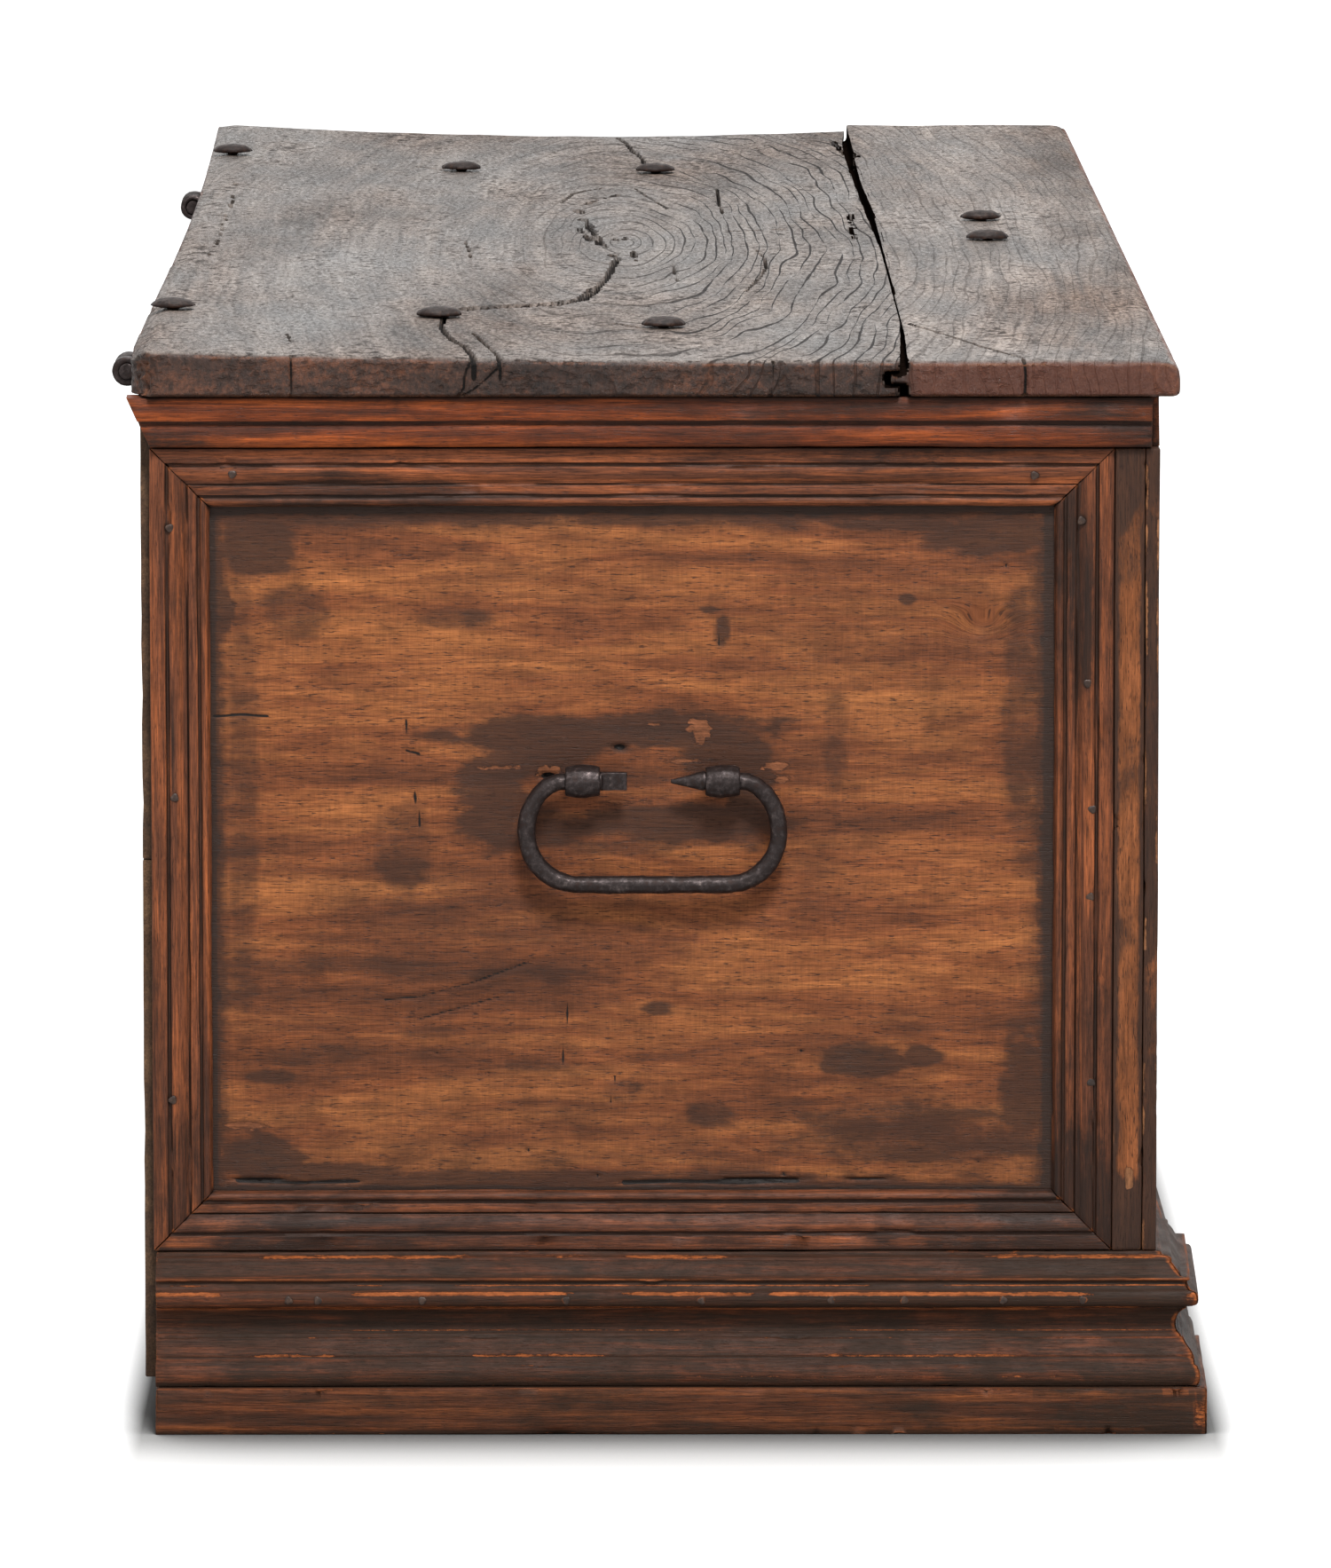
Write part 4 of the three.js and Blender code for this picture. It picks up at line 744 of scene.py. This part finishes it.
def wearOf(node, points, worn, seed):
    # dirt, painted shade and bared wood on one piece, each 0 to 1
    y, z = points[:, 1] * 1000, points[:, 2] * 1000
    grime = np.zeros(len(points))
    bare = np.zeros(len(points))
    lumps = (cloud(points, (16, 12, 16), seed + 41) - 0.5) * 2
    if node.startswith("corner_strip"):
        sides = np.minimum(*[np.abs(y - side) for side in timber["stripSides"]])
        # darker towards the top under the cleat and along both sides, painted shade and dirt; darker towards the
        # foot
        grime = smooth(z + lumps * 16, *timber["stripTop"]) * 0.65
        grime = np.maximum(grime, (1 - smooth(sides + lumps * 1.5, 0.8, 3.6)) * 0.5)
        high, low = timber["stripFoot"]
        grime = np.maximum(grime, smooth(-z + lumps * 10, -high, -low) * 0.8)
        bare = smooth(1 - spotDistance(y, z, timber["stripSpot"]) + lumps * 0.5, 0, 0.5) * 0.8
    if "pilaster" in node:
        side = timber["pilasterEnd"] - np.abs(points[:, 0]) * 1000
        grime = (1 - smooth(side + lumps * 3, 2, 16)) * 0.4
        bare = worn * smooth(cloud(points, (8, 8, 26), seed + 5), 0.48, 0.6) * 0.56
    if "_frame_" in node or node.startswith("lid_cleat"):
        along = (60, 160, 30) if node.endswith(("_top", "_bottom")) or "cleat" in node else (60, 30, 160)
        grime = smooth(cloud(points, along, seed + 43), 0.5, 0.8) * 0.3
        if node.startswith("end_"):
            corner = spotDistance(y, z, timber["frameDirt"]) + lumps * 0.3
            grime = np.maximum(grime, (1 - smooth(corner, 0.3, 1.2)) * 0.34)
    if node.startswith(("base_", "plinth")):
        bare = worn * smooth(cloud(points, (34, 34, 5), seed + 5), 0.5, 0.6) * 0.4
        if node.endswith("_left"):
            for index, (height, half, most) in enumerate(timber["wornLines"]):
                line = 1 - smooth(np.abs(z - height), half * 0.4, half * 1.8)
                here = smooth(cloud(points, (50, 70, 50), 77 + index) - 0.0003 * (y + 100), 0.4, 0.52)
                bare = np.maximum(bare, line * here * most)
        for low, high, bottom, top in timber["rubbed"]:
            inside = np.minimum.reduce([y - low, high - y, z - bottom, top - z])
            bare = np.maximum(bare, smooth(inside + lumps * 3, -1, 6) * 0.52)
        grime = np.where(bare > 0.3, 0, 0.08 + 0.26 * smooth(-y + lumps * 60, 60, 330))
    return grime, bare


def cutAt(bm, place, direction):
    bmesh.ops.bisect_plane(bm, geom=bm.verts[:] + bm.edges[:] + bm.faces[:], dist=1e-7, plane_co=place,
                           plane_no=direction)


def dressTimber(node, axis, arris, step, cuts, materials, seed):
    # cuts: "" for a moulding, cut along its length only; "wide" for a board; "all" for a rail
    bm = mergedBmesh(node)
    bmesh.ops.dissolve_limit(bm, angle_limit=math.radians(0.6), verts=bm.verts, edges=bm.edges)
    least = math.radians(timber["softFrom"])
    sharp = [e for e in bm.edges if e.is_manifold and e.is_convex and e.calc_face_angle(0) > least]
    bmesh.ops.bevel(bm, geom=sharp, offset=arris * mm, segments=2, profile=0.55, affect="EDGES",
                    material=1, clamp_overlap=True, loop_slide=True)
    directions = [Vector(byGrain(axis, 1, 0))]
    size = [max(v.co[k] for v in bm.verts) - min(v.co[k] for v in bm.verts) for k in range(3)]
    others = sorted((k for k in range(3) if "XYZ"[k] != axis), key=lambda k: -size[k])
    for other in others[:{"": 0, "wide": 1, "all": 2}[cuts]]:
        directions.append(Vector([float(k == other) for k in range(3)]))
    for direction in directions:
        spread = [v.co.dot(direction) for v in bm.verts]
        low, high = min(spread), max(spread)
        count = max(1, round((high - low) / (step * mm)))
        single = "_front" not in node or "base_" not in node and "plinth" not in node
        most = 0.85 * (high - low - timber["mitres"] * mm)
        long = [e for e in bm.edges if abs((e.verts[0].co - e.verts[1].co).dot(direction)) > most]
        if single and long:
            bmesh.ops.subdivide_edges(bm, edges=long, cuts=count - 1, use_grid_fill=True)
        else:
            for k in range(1, count, 2):
                cutAt(bm, direction * (low + (high - low) * k / count), direction)
    quirks = timber["quirks"] if "base_moulding_lower" in node else []
    for height, depth in quirks:
        for level in (height - 0.7, height, height + 0.7):
            cutAt(bm, (0, 0, level * mm), (0, 0, 1))
    worn = np.zeros(len(bm.verts))
    bm.verts.index_update()
    for face in bm.faces:
        if face.material_index == 1:
            for v in face.verts:
                worn[v.index] = 1
    mesh = bpy.data.meshes.new(node + "_dressed")
    bm.normal_update()
    bm.to_mesh(mesh)
    bm.free()
    points = read(mesh.vertices, "co")
    normals = read(mesh.vertices, "normal")
    bite = smooth(cloud(points, byGrain(axis, 50, 12), seed), 0.45, 0.8) * timber["wear"]
    bite += smooth(cloud(points, byGrain(axis, 13, 7), seed + 2, 2), 0.72, 0.9) * timber["chips"]
    grime, bare = wearOf(node, points, worn, seed)
    sink = bite * worn
    for height, depth in quirks:
        outside = (np.abs(normals[:, 2]) < 0.95) & (np.abs(points[:, 2] * 1000 - height) < 0.2)
        sink = np.where(outside, depth, sink)
    moved = points + wander(points) - normals * (sink * mm)[:, None]
    moved[:, 2] = np.maximum(moved[:, 2], 0)
    writePoints(mesh, moved)
    paint(mesh, grime=grime, bare=bare)
    stand(node + "_dressed", mesh, node, materials)


def grainAxis(node):
    if node.endswith(("_frame_front", "_frame_back", "_frame_left", "_frame_right")):
        return "Z"
    if node.startswith(("corner_strip", "front_pilaster")):
        return "Z"
    atEnd = node.startswith(("base_", "plinth")) and node.endswith(("_left", "_right"))
    return "Y" if atEnd or node.startswith(("end_", "lid_cleat")) else "X"


def timberMaterial(node):
    if node.startswith("plinth"):
        return walnutPlinth
    if node.startswith("base_"):
        return walnutBase
    return walnutCleat if "cleat" in node else walnutMoulding


timberNodes = [n for n in sorted(nodes) if slotOf[n] in ("panel_walnut", "moulding_walnut", "plain_poplar")
               and not n.startswith("end_plank")]
for index, node in enumerate(timberNodes):
    axis = grainAxis(node)
    arris, step, cuts = timber["boardArris"], timber["boardStep"], "wide"
    materials = [sawnPoplar, sawnPoplar]
    if slotOf[node] == "moulding_walnut":
        near = node.endswith(("_left", "_right")) or node.startswith("end_")
        arris = timber["baseArris"] if node.startswith(("base_", "plinth")) else timber["frameArris"]
        step = timber["nearStep"] if near else timber["farStep"]
        cuts = "all" if node.startswith("plinth") and near else ""
        materials = [timberMaterial(node)[axis], walnutArris[axis]]
    elif slotOf[node] == "panel_walnut":
        materials = [walnutBoard[axis], walnutArris[axis]]
        if node.startswith(("corner_strip", "front_pilaster")):
            step, cuts, materials = timber["nearStep"], "all", [walnutStrip, walnutArris[axis]]
    dressTimber(node, axis, arris, step, cuts, materials, timber["seed"] + index)
print("timber dressed:", len(timberNodes), "pieces")


# forged ironwork
ironwork = {
    "fine": 0.7,  # mm, faces of the handles
    "coarse": 1.3,  # and of the straps, lock and keeper
    "hammer": 0.5,  # depth of the hammer's facets
    "pits": 0.2,
    "pivotY": 2.0,
    "pivotHeight": 377,
    "taller": 0.32,  # how much the bails' flattened tips have spread
    "tipFrom": (27, 31),  # distances from the middle between which a tip ends
}


def dressIron(node, voxel, seed):
    mesh = remeshed(node, voxel, ease=3)
    points = read(mesh.vertices, "co")
    normals = read(mesh.vertices, "normal")
    facets = smooth(cloud(points, 11, seed, 2), 0.3, 0.75)
    sink = facets * ironwork["hammer"] + cloud(points, 2.4, seed + 5, 2) * ironwork["pits"]
    if not node.startswith("hinge_pin"):
        sink -= 0.5 * ironwork["hammer"]  # the pins stay clear of their bores
    if node.startswith("handle_bail"):
        # the two tips, hammered flat and tall
        pivot = ironwork["pivotHeight"] * mm
        near = np.abs(points[:, 1] - ironwork["pivotY"] * mm)
        tip = (points[:, 2] > pivot - 15 * mm) * (1 - smooth(near * 1000, *ironwork["tipFrom"]))
        points[:, 2] += (points[:, 2] - pivot) * ironwork["taller"] * tip
    writePoints(mesh, points - normals * (sink * mm)[:, None])
    nailed = "strap_lid" in node or "keeper" in node
    stand(node + "_forged", mesh, node, [brownNail if nailed else wroughtIron], 60)


ironNodes = [n for n in sorted(nodes) if slotOf[n] == "forged_iron"]
for index, node in enumerate(ironNodes):
    fine = node.startswith(("handle_", "hinge_pin"))
    dressIron(node, ironwork["fine"] if fine else ironwork["coarse"], 700 + 7 * index)
print("ironwork dressed:", len(ironNodes), "pieces")


# small nails that hold the mouldings of the near end, driven in and rubbed flat
smallNails = {
    "radius": 2.3,
    "rise": 0.4,
    "frame": [(-248, 433), (-251, 360), (-250, 309), (-251, 201), (-244, 527), (-217, 553), (243, 554), (279, 523),
              (279, 191), (277, 367)],  # Y and Z on the frame's outer band, mm
    "frameFace": -833.3,
    "torus": [212, 195, 135, 52, -26, -101, -143, -200, -246],  # Y on the base's torus
    "torusFace": -856.2,
    "torusHeight": 77.5,
}


def nailHeads():
    places = [(smallNails["frameFace"], y, z) for y, z in smallNails["frame"]]
    places += [(smallNails["torusFace"], y, smallNails["torusHeight"]) for y in smallNails["torus"]]
    bm = bmesh.new()
    for index, (x, y, z) in enumerate(places):
        made = bmesh.ops.create_uvsphere(bm, u_segments=20, v_segments=12, radius=smallNails["radius"] * mm)
        tilt = Matrix.Rotation(0.1 * math.sin(index * 2.3), 4, "Y")
        tilt = tilt @ Matrix.Rotation(0.1 * math.cos(index * 1.7), 4, "Z")
        for v in made["verts"]:
            v.co.x *= 0.5 * smallNails["rise"] if v.co.x < 0 else 0.2
            v.co *= 1 + 0.12 * math.sin(3 * math.atan2(v.co.z, v.co.y) + index)
            v.co = tilt @ v.co + Vector((x, y, z)) * mm
    mesh = bpy.data.meshes.new("small_nail_heads")
    bm.to_mesh(mesh)
    bm.free()
    mesh.materials.append(rubbedNail)
    mesh.shade_smooth()
    piece = placed("small_nail_heads", mesh)
    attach(piece, "carcase")


nailHeads()
print("small nails driven")


# floor, light and camera
studio = {
    "floor": "#cbcbca",
    "floorReach": 90.0,
    "contactShadeReach": 0.1,  # how near the chest the painted shade on the paper's colour reaches
    # the part of the floor that shows its shadow to the camera, and over how much it fades out
    "shadow": {"shift": (0, 0.0125, 0), "half": (0.86, 0.308, 0), "squeeze": (1, 12, 0), "fade": (0.02, 0.22)},
    "worldLevel": 0.34,
    "lamps": [
        # name, place, size, watts
        ("key", (-3.9, -0.5, 4.3), 1.1, 235),
        ("fill", (-4.6, 2.8, 2.2), 3.2, 34),
        ("top", (1.1, 0.0, 4.6), 2.6, 130),
    ],
}
wide = studio["floorReach"]
floorMesh = bpy.data.meshes.new("floor")
corners = [(-wide, -wide, 0), (wide, -wide, 0), (wide, wide, 0), (-wide, wide, 0)]
floorMesh.from_pydata(corners, [], [(0, 1, 2, 3)])
floor = placed("floor", floorMesh)
# matt white paper, its colour darkened by a painted contact shade round the chest's foot
floorPaint, add, shader = newMaterial("matt_white_paper")
# painted shade: ambient occlusion darkens the paper's own colour near the chest
contactShade = add("AmbientOcclusion", samples=8, Distance=studio["contactShadeReach"], give="AO")
contactShade = add("MapRange", contactShade, 0.45, 1.0, 0.12, 1.0)
fill(shader, {"Base Color": add("Mix", 1.0, studio["floor"], contactShade, **shaded), "Roughness": 0.9,
              "Specular IOR Level": 0.1})
# the paper is shown white to the camera, all but the shadow and the painted shade round the chest's foot
shadow = studio["shadow"]
away = add("NewGeometry", give="Position")
for way, by in (("ADD", shadow["shift"]), ("ABSOLUTE", None), ("SUBTRACT", shadow["half"]), ("MAXIMUM", (0, 0, 0)),
                ("MULTIPLY", shadow["squeeze"]), ("LENGTH", None)):
    away = add("VectorMath", away, by, operation=way)
lift = add("Emission", Strength=add("MapRange", away, *shadow["fade"]))
seen = add("MixShader", add("LightPath", give="Is Camera Ray"), add("Emission", Strength=0.0), lift)
both = add("AddShader", shader.outputs[0], seen)
fill(floorPaint.node_tree.nodes["Material Output"], {"Surface": both})
floorMesh.materials.append(floorPaint)

world = bpy.data.worlds.new("studio")
bpy.context.scene.world = world
world.use_nodes = True
add = partial(addNode, world.node_tree)
path = add("LightPath").node.outputs
shown = add("Math", add("Math", path["Is Camera Ray"], path["Is Glossy Ray"], **larger),
            path["Is Transmission Ray"], **larger)
level = add("MapRange", shown, None, None, studio["worldLevel"], 1.0)
fill(world.node_tree.nodes["Background"], {"Color": "#ffffff", "Strength": level})

for name, spot, size, watts in studio["lamps"]:
    lamp = bpy.data.lights.new(name, "AREA")
    lamp.shape = "SQUARE"
    lamp.size = size
    lamp.energy = watts
    holder = placed(name, lamp)
    holder.location = spot
    holder.rotation_euler = (Vector((0, 0, 0.35)) - Vector(spot)).to_track_quat("-Z", "Y").to_euler()

camera = {"place": (-7.709, 0.0292, 1.284), "yaw": -0.00503, "pitch": 0.13147, "lens": 276.9}
camData = bpy.data.cameras.new("camera")
camData.sensor_width = 36
camData.lens = camera["lens"]
camData.clip_end = 300
cam = placed("camera", camData)
cam.location = camera["place"]
ahead = Vector((math.cos(camera["pitch"]) * math.cos(camera["yaw"]),
                math.cos(camera["pitch"]) * math.sin(camera["yaw"]), -math.sin(camera["pitch"])))
cam.rotation_euler = ahead.to_track_quat("-Z", "Y").to_euler()
bpy.context.scene.camera = cam
bpy.context.scene.view_settings.view_transform = "Standard"
print("studio ready")
